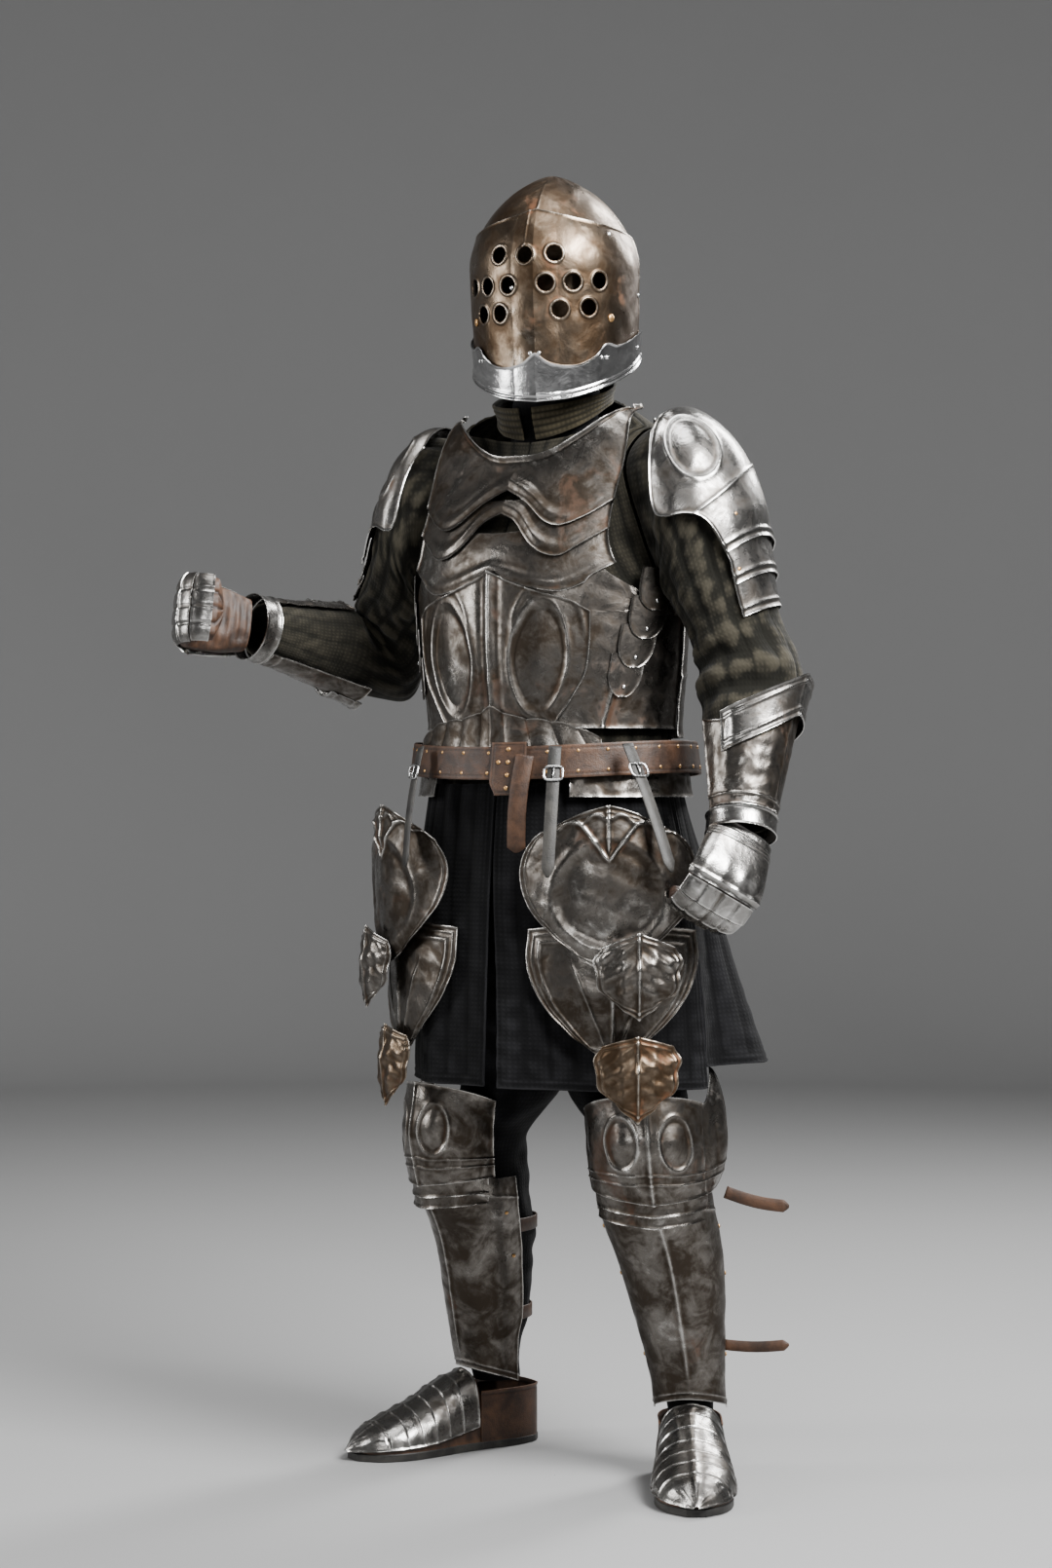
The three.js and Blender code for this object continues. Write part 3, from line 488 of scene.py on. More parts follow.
def steel(name, dark, middle, bright, rust, cover=0.5, rusty=0.3, gloss=(0.5, 0.2)):
    # forged steel: brown patina in patches, grey metal where it is rubbed, bright on ridges and edges
    material, tree = newMaterial(name)
    place = node(tree, "TexCoord").outputs["Object"]
    cloud = noise(tree, place, 7.0, 5, 0.55, 0.4)
    patchy = noise(tree, place, 26.0, 8, 0.65, 0.8)
    fine = noise(tree, place, 110.0, 6, 0.6)
    pits = noise(tree, place, 420.0, 3, 0.5)
    wear_and_relief_shading = field(tree, "wear_and_relief_shading")
    rubbed = maths(tree, "ADD", maths(tree, "MULTIPLY", cloud, 0.9), maths(tree, "MULTIPLY", patchy, 0.75))
    rubbed = maths(tree, "ADD", rubbed, maths(tree, "MULTIPLY", fine, 0.25))
    rubbed = maths(tree, "ADD", rubbed, maths(tree, "MULTIPLY", wear_and_relief_shading, 0.22))
    half = 0.95 + (cover - 0.5) * 0.5
    grey = between(tree, rubbed, half - 0.16, half + 0.16)
    worn = between(tree, maths(tree, "ADD", wear_and_relief_shading, maths(tree, "MULTIPLY", fine, 0.5)), 0.55, 1.2)
    shine = between(tree, rubbed, half + 0.1, half + 0.34)
    colour = colours(tree, grey, dark, middle)
    colour = colours(tree, maths(tree, "MAXIMUM", worn, shine), colour, bright)
    other = node(tree, "Mapping", {"Vector": place, "Location": (3.1, 1.7, 5.2)}).outputs[0]
    blotch = maths(tree, "ADD", noise(tree, other, 11.0, 6, 0.62, 0.6), maths(tree, "MULTIPLY", fine, 0.22))
    blotch = maths(tree, "SUBTRACT", blotch, maths(tree, "MULTIPLY", wear_and_relief_shading, 0.12))
    limit = 0.78 - rusty * 0.3
    rusted = between(tree, blotch, limit, limit + 0.16)
    colour = colours(tree, maths(tree, "MULTIPLY", rusted, 0.8), colour, rust)
    roughness = between(tree, maths(tree, "MAXIMUM", worn, grey), 0, 1, gloss[0], gloss[1])
    roughness = maths(tree, "ADD", roughness, maths(tree, "MULTIPLY", rusted, 0.22))
    roughness = maths(tree, "ADD", roughness, maths(tree, "MULTIPLY", fine, 0.16))
    roughness = maths(tree, "SUBTRACT", roughness, 0.06, clamp=True)
    metal = between(tree, rusted, 0, 1, 1.0, 0.55)
    dent = maths(tree, "ADD", maths(tree, "MULTIPLY", patchy, 1.6), maths(tree, "MULTIPLY", fine, 0.35))
    dent = maths(tree, "ADD", dent, maths(tree, "MULTIPLY", pits, 0.10))
    finished(
        tree,
        {"Base Color": colour, "Metallic": metal, "Roughness": roughness},
        dent,
        reach=0.0011,
        strength=0.55,
    )
    return material


def cloth(name, dark, light, threads=950.0, nap=0.25):
    # plain weave on the cut's own measure, with lighter rubbed edges, painted highlights on the ridges,
    # painted shade in the folds and stitch lines, and a dusty nap
    material, tree = newMaterial(name)
    place = node(tree, "TexCoord").outputs["Object"]
    cut = node(tree, "TexCoord").outputs["UV"]
    warp = node(tree, "TexWave", {"Vector": cut, "Scale": threads / 20, "Distortion": 1.2, "Detail": 2.0})
    weft = node(
        tree, "TexWave", {"Vector": cut, "Scale": threads / 20, "Distortion": 1.2, "Detail": 2.0},
        bands_direction="Y",
    )
    weave = maths(tree, "MULTIPLY", warp.outputs["Fac"], weft.outputs["Fac"])
    dust = noise(tree, place, 16.0, 7, 0.65, 0.4)
    fluff = noise(tree, place, 240.0, 4, 0.6)
    wear_and_relief_shading = field(tree, "wear_and_relief_shading")
    # the relief field from skin() paints highlights on the cloth's ridges and shade in its folds and stitch
    # lines, besides lighter rubbed edges; the dust noise gives dusty patches
    share = maths(tree, "ADD", maths(tree, "MULTIPLY", wear_and_relief_shading, 0.6), maths(tree, "MULTIPLY", dust, 0.9))
    share = maths(tree, "ADD", share, maths(tree, "MULTIPLY", weave, 0.18))
    share = maths(tree, "ADD", share, maths(tree, "MULTIPLY", fluff, 0.25))
    colour = colours(tree, between(tree, share, 0.42, 1.15), dark, light)
    height = maths(tree, "ADD", weave, maths(tree, "MULTIPLY", fluff, 0.9))
    finished(
        tree,
        {"Base Color": colour, "Roughness": 0.92, "Sheen Weight": nap, "Sheen Roughness": 0.5,
         "Specular IOR Level": 0.1},
        height,
        reach=0.0007,
        strength=0.5,
    )
    return material


def hide(name, dark, light, gloss=0.5):
    # leather: fine grain, creases, rubbed lighter along its edges
    material, tree = newMaterial(name)
    place = node(tree, "TexCoord").outputs["Object"]
    grain = node(tree, "TexVoronoi", {"Vector": place, "Scale": 520.0}, feature="F1").outputs["Distance"]
    cloud = noise(tree, place, 24.0, 7, 0.6, 0.6)
    fine = noise(tree, place, 150.0, 5, 0.6)
    wear_and_relief_shading = field(tree, "wear_and_relief_shading")
    share = maths(tree, "ADD", cloud, maths(tree, "MULTIPLY", wear_and_relief_shading, 0.3))
    share = maths(tree, "ADD", share, maths(tree, "MULTIPLY", fine, 0.3))
    colour = colours(tree, between(tree, share, 0.45, 0.95), dark, light)
    roughness = maths(tree, "ADD", maths(tree, "MULTIPLY", fine, 0.3), gloss - 0.12)
    height = maths(tree, "ADD", maths(tree, "MULTIPLY", grain, 0.6), fine)
    finished(
        tree,
        {"Base Color": colour, "Roughness": roughness, "Specular IOR Level": 0.4},
        height,
        reach=0.0008,
        strength=0.45,
    )
    return material


def brass(name):
    material, tree = newMaterial(name)
    place = node(tree, "TexCoord").outputs["Object"]
    fine = noise(tree, place, 160.0, 5, 0.6)
    colour = colours(tree, fine, (0.34, 0.17, 0.06), (0.75, 0.46, 0.2))
    finished(tree, {"Base Color": colour, "Metallic": 0.9, "Roughness": 0.38}, fine, 0.0006, 0.4)
    return material


plateSteel = steel("plateSteel", (0.042, 0.033, 0.025), (0.165, 0.152, 0.138), (0.5, 0.485, 0.46),
                   (0.06, 0.026, 0.011), cover=0.5, rusty=0.3, gloss=(0.46, 0.24))
shoulderSteel = steel("shoulderSteel", (0.09, 0.08, 0.07), (0.27, 0.262, 0.25), (0.62, 0.61, 0.59),
                      (0.075, 0.036, 0.016), cover=0.36, rusty=0.16, gloss=(0.42, 0.22))
brightSteel = steel("brightSteel", (0.2, 0.195, 0.19), (0.46, 0.46, 0.46), (0.74, 0.74, 0.74),
                    (0.12, 0.07, 0.04), cover=0.2, rusty=0.04, gloss=(0.34, 0.16))
brownedSteel = steel("brownedSteel", (0.062, 0.04, 0.024), (0.16, 0.122, 0.088), (0.42, 0.38, 0.33),
                     (0.12, 0.044, 0.015), cover=0.5, rusty=0.38, gloss=(0.42, 0.26))
quiltCloth = cloth("quiltCloth", (0.0065, 0.0062, 0.0045), (0.036, 0.032, 0.023), nap=0.05)
blackCloth = cloth("blackCloth", (0.0022, 0.0022, 0.0025), (0.0095, 0.0095, 0.0105), nap=0.03)
oliveCloth = cloth("oliveCloth", (0.014, 0.012, 0.007), (0.06, 0.05, 0.03), nap=0.12)
edgeCloth = cloth("edgeCloth", (0.014, 0.015, 0.02), (0.045, 0.048, 0.06), nap=0.1)
brownLeather = hide("brownLeather", (0.018, 0.0085, 0.0045), (0.085, 0.04, 0.02))
greyLeather = hide("greyLeather", (0.01, 0.0095, 0.009), (0.045, 0.042, 0.037))
oldBrass = brass("oldBrass")
print("finishes made")


# ---- the coat under the plates ----
coatShape = {
    # height, half width, front depth, back depth
    "sections": [
        [960, 184, 150, 146], [1085, 176, 144, 138], [1200, 188, 154, 138], [1300, 194, 152, 140],
        [1350, 195, 137, 141], [1400, 194, 110, 140], [1440, 190, 88, 132], [1480, 178, 71, 118],
        [1510, 157, 61, 103], [1530, 131, 56, 90], [1545, 106, 54, 80], [1560, 86, 54, 72],
    ],
    "wall": 3,
    "channel": 34,  # width of a quilted channel
    "puff": 1.8,
}
armhole = {"level": 1390, "high": 115, "front": 62, "back": 88}


def section(table):
    # half ellipses front and back at each height; theta from the front toward the figure's left
    def at(theta, z, out=0.0):
        rows = rowsAt(table, z)
        deep = np.where(np.cos(theta) > 0, rows[..., 2], rows[..., 3])
        return xyz((rows[..., 1] + out) * np.sin(theta), -(deep + out) * np.cos(theta), z)

    return at


coatAt = section(coatShape["sections"])


def armholeEdge(z, behind):
    share = 1 - ((z - armhole["level"]) / armhole["high"]) ** 2
    rows = rowsAt(coatShape["sections"], z)
    reach = armhole["back"] if behind else armhole["front"]
    deep = rows[..., 3] if behind else rows[..., 2]
    ahead = np.clip(reach * np.sqrt(np.maximum(share, 0)) / deep, -1, 1)
    return np.where(share <= 0, pi / 2, np.arccos(ahead))


def neckEdge(theta):
    return 1560 - 72 * ((1 + np.cos(theta)) / 2) ** 1.6


def quilting(across, channel, puff):
    # channels of padding side by side, pinched at each line of stitches
    return puff * np.abs(np.sin(pi * across / channel)) ** 0.55 - puff * 0.6


def addCoat():
    seam = 0.004
    puff, channel = coatShape["puff"], coatShape["channel"]
    for name, side in sides.items():
        points, theta, z = patch(
            lambda s, z: coatAt(side * mix(seam, armholeEdge(z, False) - seam, s), z),
            70, 130, [0, 1], [968, lambda s: neckEdge(s * pi / 2)],
        )
        relief = quilting(theta * 230, channel, puff) + 0.7 * waves(theta * 230, z, 70, 3)
        piece = skin("coat_front_cloth_" + name, points, "quilt", quiltCloth, coatShape["wall"],
                     "coat_front_" + name, relief=relief, inside=(0, 0, 1300))
    points, theta, z = patch(
        lambda s, z: coatAt(pi + mix(-1, 1, s) * (armholeEdge(z, True) - seam), z),
        130, 130, [0, 1], [968, lambda s: neckEdge(pi + mix(-1, 1, s) * (pi / 2))],
    )
    relief = quilting(theta * 560, channel, puff) + 0.7 * waves(theta * 560, z, 70, 4)
    piece = skin("coat_back_cloth", points, "quilt", quiltCloth, coatShape["wall"], "coat_back",
                 relief=relief, inside=(0, 0, 1300))


collarShape = {
    "table": [[0, 88, 69, 76], [0.5, 88, 78, 76], [1, 92, 84, 80]],  # share up, half width, front, back
    "top": (1592, 1536),  # back, front
    "gap": 0.12,
    "wall": 3,
}
neckShape = {"half": 66, "deep": 58, "low": 1478, "high": 1600, "wall": 2.4}


def addCollar():
    def collarAt(theta, t):
        rows = rowsAt(collarShape["table"], t)
        deep = np.where(np.cos(theta) > 0, rows[..., 2], rows[..., 3])
        top = mix(*collarShape["top"], (1 + np.cos(theta)) / 2)
        return xyz(rows[..., 1] * np.sin(theta), -deep * np.cos(theta), mix(neckEdge(theta) + 3, top, t))

    points, theta, t = patch(
        collarAt, 220, 40, [collarShape["gap"], 2 * pi - collarShape["gap"]], [0, 1]
    )
    relief = quilting(t * 62 + 2, 13, 1.5) + 0.9 * waves(theta * 85, t * 60, 45, 8)
    piece = skin("collar_cloth", points, "olive_cloth", oliveCloth, collarShape["wall"], "collar",
                 relief=relief, inside=(0, 0, 1550))

    def neckAt(theta, t):
        low, high = neckShape["low"], neckShape["high"]
        across, ahead = neckShape["half"] * np.sin(theta), neckShape["deep"] * np.cos(theta)
        return xyz(across, -1 - ahead, mix(low, high, t))

    points, theta, t = hoop(neckAt, 160, 50, [0, 1])
    relief = 2.2 * waves(np.sin(theta) * 60, t * 120, 34, 5) + 1.2 * np.sin(t * 26 + 2 * np.sin(theta))
    piece = skin("neck_wrap", points, "black_cloth", blackCloth, neckShape["wall"], "neck_cloth",
                 wrap=True, relief=relief - 2)


# ---- arms ----
armShape = {
    # rings: share, centre, vector to the outer side, vector to the front
    "left": {
        "elbow": (308, 20, 1150), "wrist": (340, -68, 930),
        "rings": [
            [0, 178, 13, 1390, -8, 0, 115, 0, -75, 0], [1, 212, 4, 1392, 8, 0, 124, 0, -86, 0],
            [2, 240, 2, 1364, 38, 0, 108, 0, -90, 0], [3, 260, 3, 1322, 54, 0, 76, 0, -88, 0],
            [4, 275, 7, 1272, 56, 0, 46, 0, -84, 0], [5, 288, 13, 1214, 58, 0, 26, 0, -78, 0],
            [6, 307, 19, 1150, 72, 0, 12, 0, -76, 10],
        ],
    },
    "right": {
        "elbow": (-330, 30, 1190), "wrist": (-408, -196, 1231),
        "rings": [
            [0, -178, 13, 1390, 8, 0, 115, 0, -75, 0], [1, -204, 0, 1390, -6, 0, 120, 0, -84, 0],
            [2, -222, -4, 1364, -24, 0, 104, 0, -88, 0], [3, -238, -2, 1328, -40, 0, 76, 0, -86, 0],
            [4, -262, 8, 1284, -48, 0, 40, 0, -78, 0], [5, -294, 22, 1240, -56, 8, 28, 0, -70, 20],
            [6, -330, 32, 1190, -60, 24, 22, 0, -52, 54],
        ],
    },
    "forearm": [[7, 78, 63], [8, 130, 55], [9, 178, 47], [10, 222, 40]],  # ring, from the elbow, radius
    "wall": 3,
    "channel": 30,
}


def armAxes(name):
    # elbow, and unit vectors along the forearm, to its outer side and to its front
    arm, side = armShape[name], sides[name]
    elbow, wrist = np.array(arm["elbow"], float), np.array(arm["wrist"], float)
    along = unit(wrist - elbow)
    outer = np.array([side, 0, 0], float)
    outer = unit(outer - along * (outer @ along))
    return elbow, wrist, along, outer, np.cross(along, outer) * side


def armRings(name):
    elbow, _, along, outer, front = armAxes(name)
    rings = [list(r) for r in armShape[name]["rings"]]
    for t, u, radius in armShape["forearm"]:
        rings.append([t, *(elbow + along * u), *(outer * radius), *(front * radius)])
    return rings


def armTube(name):
    rings = armRings(name)

    def at(phi, t, out=0.0):
        r = rowsAt(rings, t)
        a, b = r[..., 4:7], r[..., 7:10]
        growA = 1 + out / np.linalg.norm(a, axis=-1)
        growB = 1 + out / np.linalg.norm(b, axis=-1)
        return r[..., 1:4] + a * (np.cos(phi) * growA)[..., None] + b * (np.sin(phi) * growB)[..., None]

    return at


def sleeveAt(name):
    side, at = sides[name], armTube(name)

    def loop(phi):
        z = armhole["level"] + armhole["high"] * np.cos(phi)
        y = -np.where(np.sin(phi) > 0, armhole["front"], armhole["back"]) * np.sin(phi)
        rows = rowsAt(coatShape["sections"], z)
        deep = np.where(y < 0, rows[..., 2], rows[..., 3])
        return xyz(side * (rows[..., 1] * np.sqrt(np.maximum(0, 1 - (y / deep) ** 2)) + 3.6), y, z)

    def sleeve(phi, t):
        shift = loop(phi) - at(phi, np.zeros_like(phi))
        return at(phi, t) + shift * (1 - ease(t))[..., None]

    return sleeve


def addSleeves():
    for name, side in sides.items():
        points, phi, t = hoop(sleeveAt(name), 220, 320, [0, 10])
        length = t * 52
        # long soft channels down the arm, deep folds where it bends, and a ruck above the cuff
        channels = 3.8 * np.abs(np.sin(phi * 6 + 0.5 * np.sin(t * 1.4))) ** 0.8 - 1.5
        bend = bump(t - 6.1, 1.3)
        inner = np.maximum(0, np.sin(phi)) ** 0.7
        folds = 5.5 * bend * inner * np.sin(t * 7.5 + 1.2 * np.cos(phi))
        soft = 2.8 * waves(phi * 62 + 20 * np.sin(t), length, 90, 21 + side)
        small = 1.2 * waves(phi * 62, length, 30, 31 + side)
        under = 1 - 0.75 * ease((t - 6.4) / 0.6)
        calm = ease(t / 0.6) * under
        relief = (channels * (1 - 0.5 * bend) + soft + small) * calm + folds * ease(t - 4.5) * under - 1.2
        piece = skin("sleeve_cloth_" + name, points, "quilt", quiltCloth, armShape["wall"],
                     "sleeve_" + name, wrap=True, relief=relief, blur=14)


# ---- skirt ----
skirtShape = {
    "sections": [[570, 224, 198, 208], [700, 222, 190, 198], [850, 214, 180, 186], [960, 196, 164, 164],
                 [1040, 183, 148, 144]],
    "top": 1000,
    "hem": 578,
    "backHem": 602,
    "wall": 3,
    "channel": 36,
    "border": 9,  # stitched border along each edge
}


def skirtAt(theta, z):
    rows = rowsAt(skirtShape["sections"], z)
    drop = np.clip((1000 - z) / 430, 0, 1)
    deep = np.where(np.cos(theta) > 0, rows[..., 2], rows[..., 3])
    fold = 1 + drop * 0.035 * np.sin(9 * theta + 0.6)
    flare = 0.36 * drop**1.6 * np.exp(-(((theta / deg - 118) / 16) ** 2))
    return xyz(
        rows[..., 1] * (fold + flare) * np.sin(theta) + 12 * drop,
        -deep * (fold + flare) * np.cos(theta) + 10 * drop,
        z,
    )


def skirtRelief(points, theta, z, seed):
    # upright channels, a flat border with a welt on it, and long drooping folds
    left, right, low, high = borderDistances(points)
    edge = np.minimum(np.minimum(left, right), low)
    border = skirtShape["border"]
    inner = ease((edge - border) / 8)
    channel = quilting(theta * 205, skirtShape["channel"], 2.2) * inner
    welt = 1.1 * bump(edge - border, 1.6) + 1.3 * bump(edge, 2.2)
    drop = ease((1000 - z) / 400)
    folds = 2.6 * waves(theta * 210, z * 0.25, 90, seed) + 0.8 * waves(theta * 210, z, 42, seed + 1)
    return channel + welt + folds * drop


def addSkirt():
    def slit(z):
        return 0.012 + 0.055 * np.clip((900 - z) / 320, 0, 1)

    for name, side in sides.items():
        points, theta, z = patch(
            lambda s, z: skirtAt(side * mix(slit(z), pi / 2 - 0.008, s), z),
            130, 170, [0, 1], [lambda s: skirtShape["hem"] - 6 * s, skirtShape["top"]],
        )
        relief = skirtRelief(points, theta * pi / 2, z, 41 + side)
        piece = skin("skirt_front_cloth_" + name, points, "black_cloth", blackCloth, skirtShape["wall"],
                     "skirt_front_" + name, relief=relief, inside=(0, 0, 800))
    points, theta, z = patch(
        skirtAt, 260, 160, [pi / 2 + 0.008, 1.5 * pi - 0.008], [skirtShape["backHem"], skirtShape["top"]]
    )
    piece = skin("skirt_back_cloth", points, "black_cloth", blackCloth, skirtShape["wall"], "skirt_back",
                 relief=skirtRelief(points, theta, z, 47), inside=(0, 0, 800))


# ---- legs ----
legShape = {
    # height, centre x, centre y, half width, front depth, back depth, about an axis turned with the foot
    "left": {
        "turn": 30, "knee": (159, -6, 84), "heel": (138, 147), "toe": (294, -111),
        "hose": [
            [100, 171, 95, 34, 36, 36], [160, 171, 84, 40, 42, 48], [240, 170, 64, 50, 48, 66],
            [330, 168, 38, 58, 54, 80], [400, 163, 18, 62, 58, 78], [480, 152, 8, 65, 62, 76],
            [560, 114, 14, 86, 72, 86], [700, 114, 0, 84, 88, 92], [900, 94, 0, 86, 92, 94],
        ],
    },
    "right": {
        "turn": -20, "knee": (-162, 8, 76), "heel": (-173, 210), "toe": (-306, -73),
        "hose": [
            [100, -199, 152, 34, 36, 36], [160, -196, 132, 40, 42, 54], [240, -186, 106, 50, 48, 74],
            [330, -174, 74, 58, 54, 86], [400, -166, 52, 57, 58, 84], [480, -152, 34, 62, 60, 80],
            [560, -106, 36, 78, 60, 88], [700, -108, 8, 82, 88, 92], [900, -90, 0, 84, 92, 94],
        ],
    },
    "hoseWall": 2.6,
    "plateWall": 1.4,
}


def limbAt(name, table):
    # level ellipses round a leg; psi from the leg's own front toward the figure's left
    turn = legShape[name]["turn"] * deg

    def at(psi, z, out=0.0):
        r = rowsAt(table, z)
        deep = np.where(np.cos(psi) > 0, r[..., 4], r[..., 5])
        across = (r[..., 3] + out) * np.sin(psi)
        ahead = (deep + out) * np.cos(psi)
        return xyz(
            r[..., 1] + across * np.cos(turn) + ahead * np.sin(turn),
            r[..., 2] + across * np.sin(turn) - ahead * np.cos(turn),
            z,
        )

    return at


def addHose():
    for name, side in sides.items():
        points, psi, z = hoop(limbAt(name, legShape[name]["hose"]), 180, 300, [98, 896])
        behind = ease((np.abs(np.arctan2(np.sin(psi), np.cos(psi))) / deg - 95) / 30)
        inner = ease(-side * np.sin(psi) * 1.4)
        free = np.maximum(behind, inner * ease((z - 430) / 80))
        thigh = ease((z - 520) / 60)
        # baggy rucks: sideways rolls of cloth, stronger behind the calf and inside the knee
        rolls = np.sin(z / 27 + 1.4 * np.sin(psi * 2 + side) + 0.8 * waves(psi * 60, z, 120, 55))
        bag = 7.0 * behind * bump((z - 300) / 120, 1.1) * (0.5 + 0.5 * np.sin(z / 24 + 0.6 * np.sin(psi)))
        relief = free * (2.4 * rolls + 1.2 * waves(psi * 60, z, 40, 56))
        relief = relief + thigh * 1.6 * waves(psi * 80, z, 70, 57)
        piece = skin("hose_cloth_" + name, points, "black_cloth", blackCloth, legShape["hoseWall"],
                     "hose_" + name, wrap=True, relief=relief + bag - 1.0, blur=12)


addCoat()
addCollar()
addSleeves()
addSkirt()
addHose()
print("cloth made")


# ---- cuirass ----
plateShape = {
    "sections": [
        [960, 204, 172, 168], [1040, 194, 158, 154], [1085, 190, 156, 150], [1150, 196, 164, 149],
        [1200, 200, 168, 149], [1300, 206, 166, 151], [1350, 206, 150, 152], [1400, 204, 122, 150],
        [1440, 199, 99, 142], [1480, 187, 81, 128], [1510, 166, 70, 112], [1530, 140, 64, 98],
        [1545, 114, 62, 88],
    ],
    "wall": 1.4,
    "foot": 1078,
}
cuirassAt = section(plateShape["sections"])


def armEdge(z):
    # side edge of the breast plates: clear of the arm above, round the ribs below
    x = curveAt(
        [[1255, 206], [1275, 186], [1300, 164], [1340, 150], [1400, 146], [1470, 146], [1530, 136]], z
    )
    half = rowsAt(plateShape["sections"], z)[..., 1]
    return np.where(z < 1240, 94 * deg, np.arcsin(np.minimum(0.998, x / half)))


def bladeEdge(z):
    x = curveAt([[1240, 206], [1280, 176], [1330, 158], [1470, 150], [1530, 132]], z)
    half = rowsAt(plateShape["sections"], z)[..., 1]
    return np.where(z < 1235, 84 * deg, np.arcsin(np.minimum(0.995, x / half)))


def both(edge):
    return [lambda z: -valueOf(edge, z), lambda z: valueOf(edge, z)]


def byAngle(edge, table):
    return lambda s: curveAt(table, np.abs(2 * s - 1) * edge)


def rolled(points, left=0.0, right=0.0, low=0.0, high=0.0, width=3.0):
    # a rounded lip along each edge, its height by edge
    distances = borderDistances(points)
    lips = [lift * bump(d, width) for d, lift in zip(distances, (left, right, low, high))]
    return np.maximum.reduce(lips) if any((left, right, low, high)) else 0.0


def dish(across, up, rim=1.4, deep=3.2, crown=2.2):
    # an embossed oval on its unit circle: a narrow rim, a sunk ring inside it and a crowned middle
    r = np.sqrt(across**2 + up**2)
    inside = ease((1 - r) / 0.22)
    return rim * bump(r - 1.02, 0.1) - deep * inside + crown * ease(1 - r) * inside


def dents(a, b, seed, depth=0.45, size=46):
    return depth * waves(a, b, size, seed) + depth * 0.1 * waves(a, b, size * 0.4, seed + 100)


breastShape = {
    "top": {"out": 14.2, "angle": 48,
            "low": [[0, 1414], [10, 1395], [20, 1367], [27, 1360], [36, 1372], [48, 1398]]},
    "lame1": {"out": 10.6, "angle": 50,
              "low": [[0, 1380], [8, 1366], [18, 1328], [27, 1317], [36, 1331], [50, 1357]]},
    "lame2": {"out": 7, "angle": 58, "low": [[0, 1290], [26, 1268], [42, 1290], [58, 1308]]},
    "sideLimit": 62,
}


def notchEdge(z):
    return np.minimum(armEdge(z), breastShape["sideLimit"] * deg)


def throat(theta):
    return 1464 + 84 * ease((np.abs(theta) / deg - 6) / 64)


def addBreast():
    def at(out):
        return lambda theta, z: cuirassAt(theta, z, out)

    wall = plateShape["wall"]
    # main plate, ribbed along the side where the scales hang
    points, theta, z = patch(
        at(3.4), 300, 170, both(armEdge),
        [plateShape["foot"], lambda s: 1326 - 84 * ease((np.abs(2 * s - 1) - 0.8) / 0.2)],
    )
    angle = np.abs(theta) / deg
    rib = 51 + (z - 1120) * 0.085
    relief = rolled(points, left=2.4, right=2.4, low=1.2, width=3.4) + dents(theta * 200, z, 61)
    relief = relief + 1.6 * bump(angle - rib, 0.9) * ease((1292 - z) / 20)
    relief = relief - 0.8 * bump(angle - rib - 2.4, 0.9)
    skin("breastplate_steel", points, "plate_steel", plateSteel, wall, "breastplate", relief=relief,
         inside=(0, 0, 1200))

    for part, node_, side, high, grid in (
        ("lame2", "breast_lame_2", notchEdge, lambda s: 1352 + 10 * np.abs(2 * s - 1), (260, 80)),
        ("lame1", "breast_lame_1", notchEdge, lambda s: 1400 + 4 * np.abs(2 * s - 1), (260, 80)),
        ("top", "breast_top", armEdge,
         lambda s: np.minimum(1536, throat(mix(-1, 1, s) * 62 * deg)), (280, 130)),
    ):
        shape = breastShape[part]
        foot = byAngle(shape["angle"], shape["low"])
        points, theta, z = patch(at(shape["out"]), *grid, both(side), [foot, high])
        angle = np.abs(theta) / deg
        rise = z - curveAt(shape["low"], np.minimum(angle, shape["angle"]))
        middle = bump(angle / 34, 1)
        relief = rolled(points, left=2.6, right=2.6, low=1.5, width=3.2)
        relief = relief + 3.4 * bump(rise - 13, 8) * middle - 1.0 * bump(rise - 27, 7) * middle
        if part == "top":
            neck = borderDistances(points)[3]
            relief = relief + 3.4 * bump(neck, 4.2) - 0.9 * bump(neck - 8, 3)
            relief = relief + 2.0 * bump(theta / (7 * deg), 1) * bump(rise - 22, 12)
        relief = relief + dents(theta * 190, z, 65 + len(part))
        skin(node_ + "_steel", points, "plate_steel", plateSteel, wall, node_, relief=relief,
             inside=(0, 0, 1300))


plackartShape = {
    "out": 10.6,
    "sides": [[1070, 24], [1085, 27], [1120, 34], [1160, 40], [1240, 41], [1300, 38]],
    "top": [[0, 1298], [8, 1284], [20, 1268], [32, 1256], [40, 1240]],
    "foot": 1072,
    "oval": {"angle": 20.5, "level": 1176, "halfAngle": 12.2, "halfHigh": 82},
}


def addPlackart():
    shape, oval = plackartShape, plackartShape["oval"]
    points, theta, z = patch(
        lambda theta, z: cuirassAt(theta, z, shape["out"]), 240, 220,
        both(lambda z: curveAt(shape["sides"], z) * deg), [shape["foot"], byAngle(40, shape["top"])],
    )
    angle = np.abs(theta) / deg
    ridge = ease((z - 1082) / 30)
    relief = rolled(points, left=1.8, right=1.8, high=2.0, width=2.8)
    lean = (z - oval["level"]) * 0.018
    across = (angle - oval["angle"] - lean) / (oval["halfAngle"] - 0.012 * np.abs(z - oval["level"]))
    relief = relief + dish(across, (z - oval["level"]) / oval["halfHigh"], 1.6, 4.2, 4.0)
    relief = relief + ridge * (4.6 * bump(angle, 1.5) - 1.4 * bump(angle - 3.6, 1.5))
    crescent = np.hypot((angle - 24) / 15.5, (z - 1186) / 98)
    relief = relief + 1.5 * bump(crescent - 1, 0.07) * ease((z - 1190) / 40) * ease((angle - 6) / 6)
    relief = relief + dents(theta * 200, z, 71, 0.35)
    skin("plackart_steel", points, "plate_steel", plateSteel, plateShape["wall"], "plackart",
         relief=relief, inside=(0, 0, 1200))


scaleShape = {
    # one side's riveted scales: angle of the middle, level of the lower end, half angle
    "scales": [(72, 1243, 10.5), (67.5, 1203, 10), (62.5, 1163, 9.2), (57.5, 1122, 8.2)],
    "high": 60,
    "out": 6.4,
    "wall": 1.1,
}


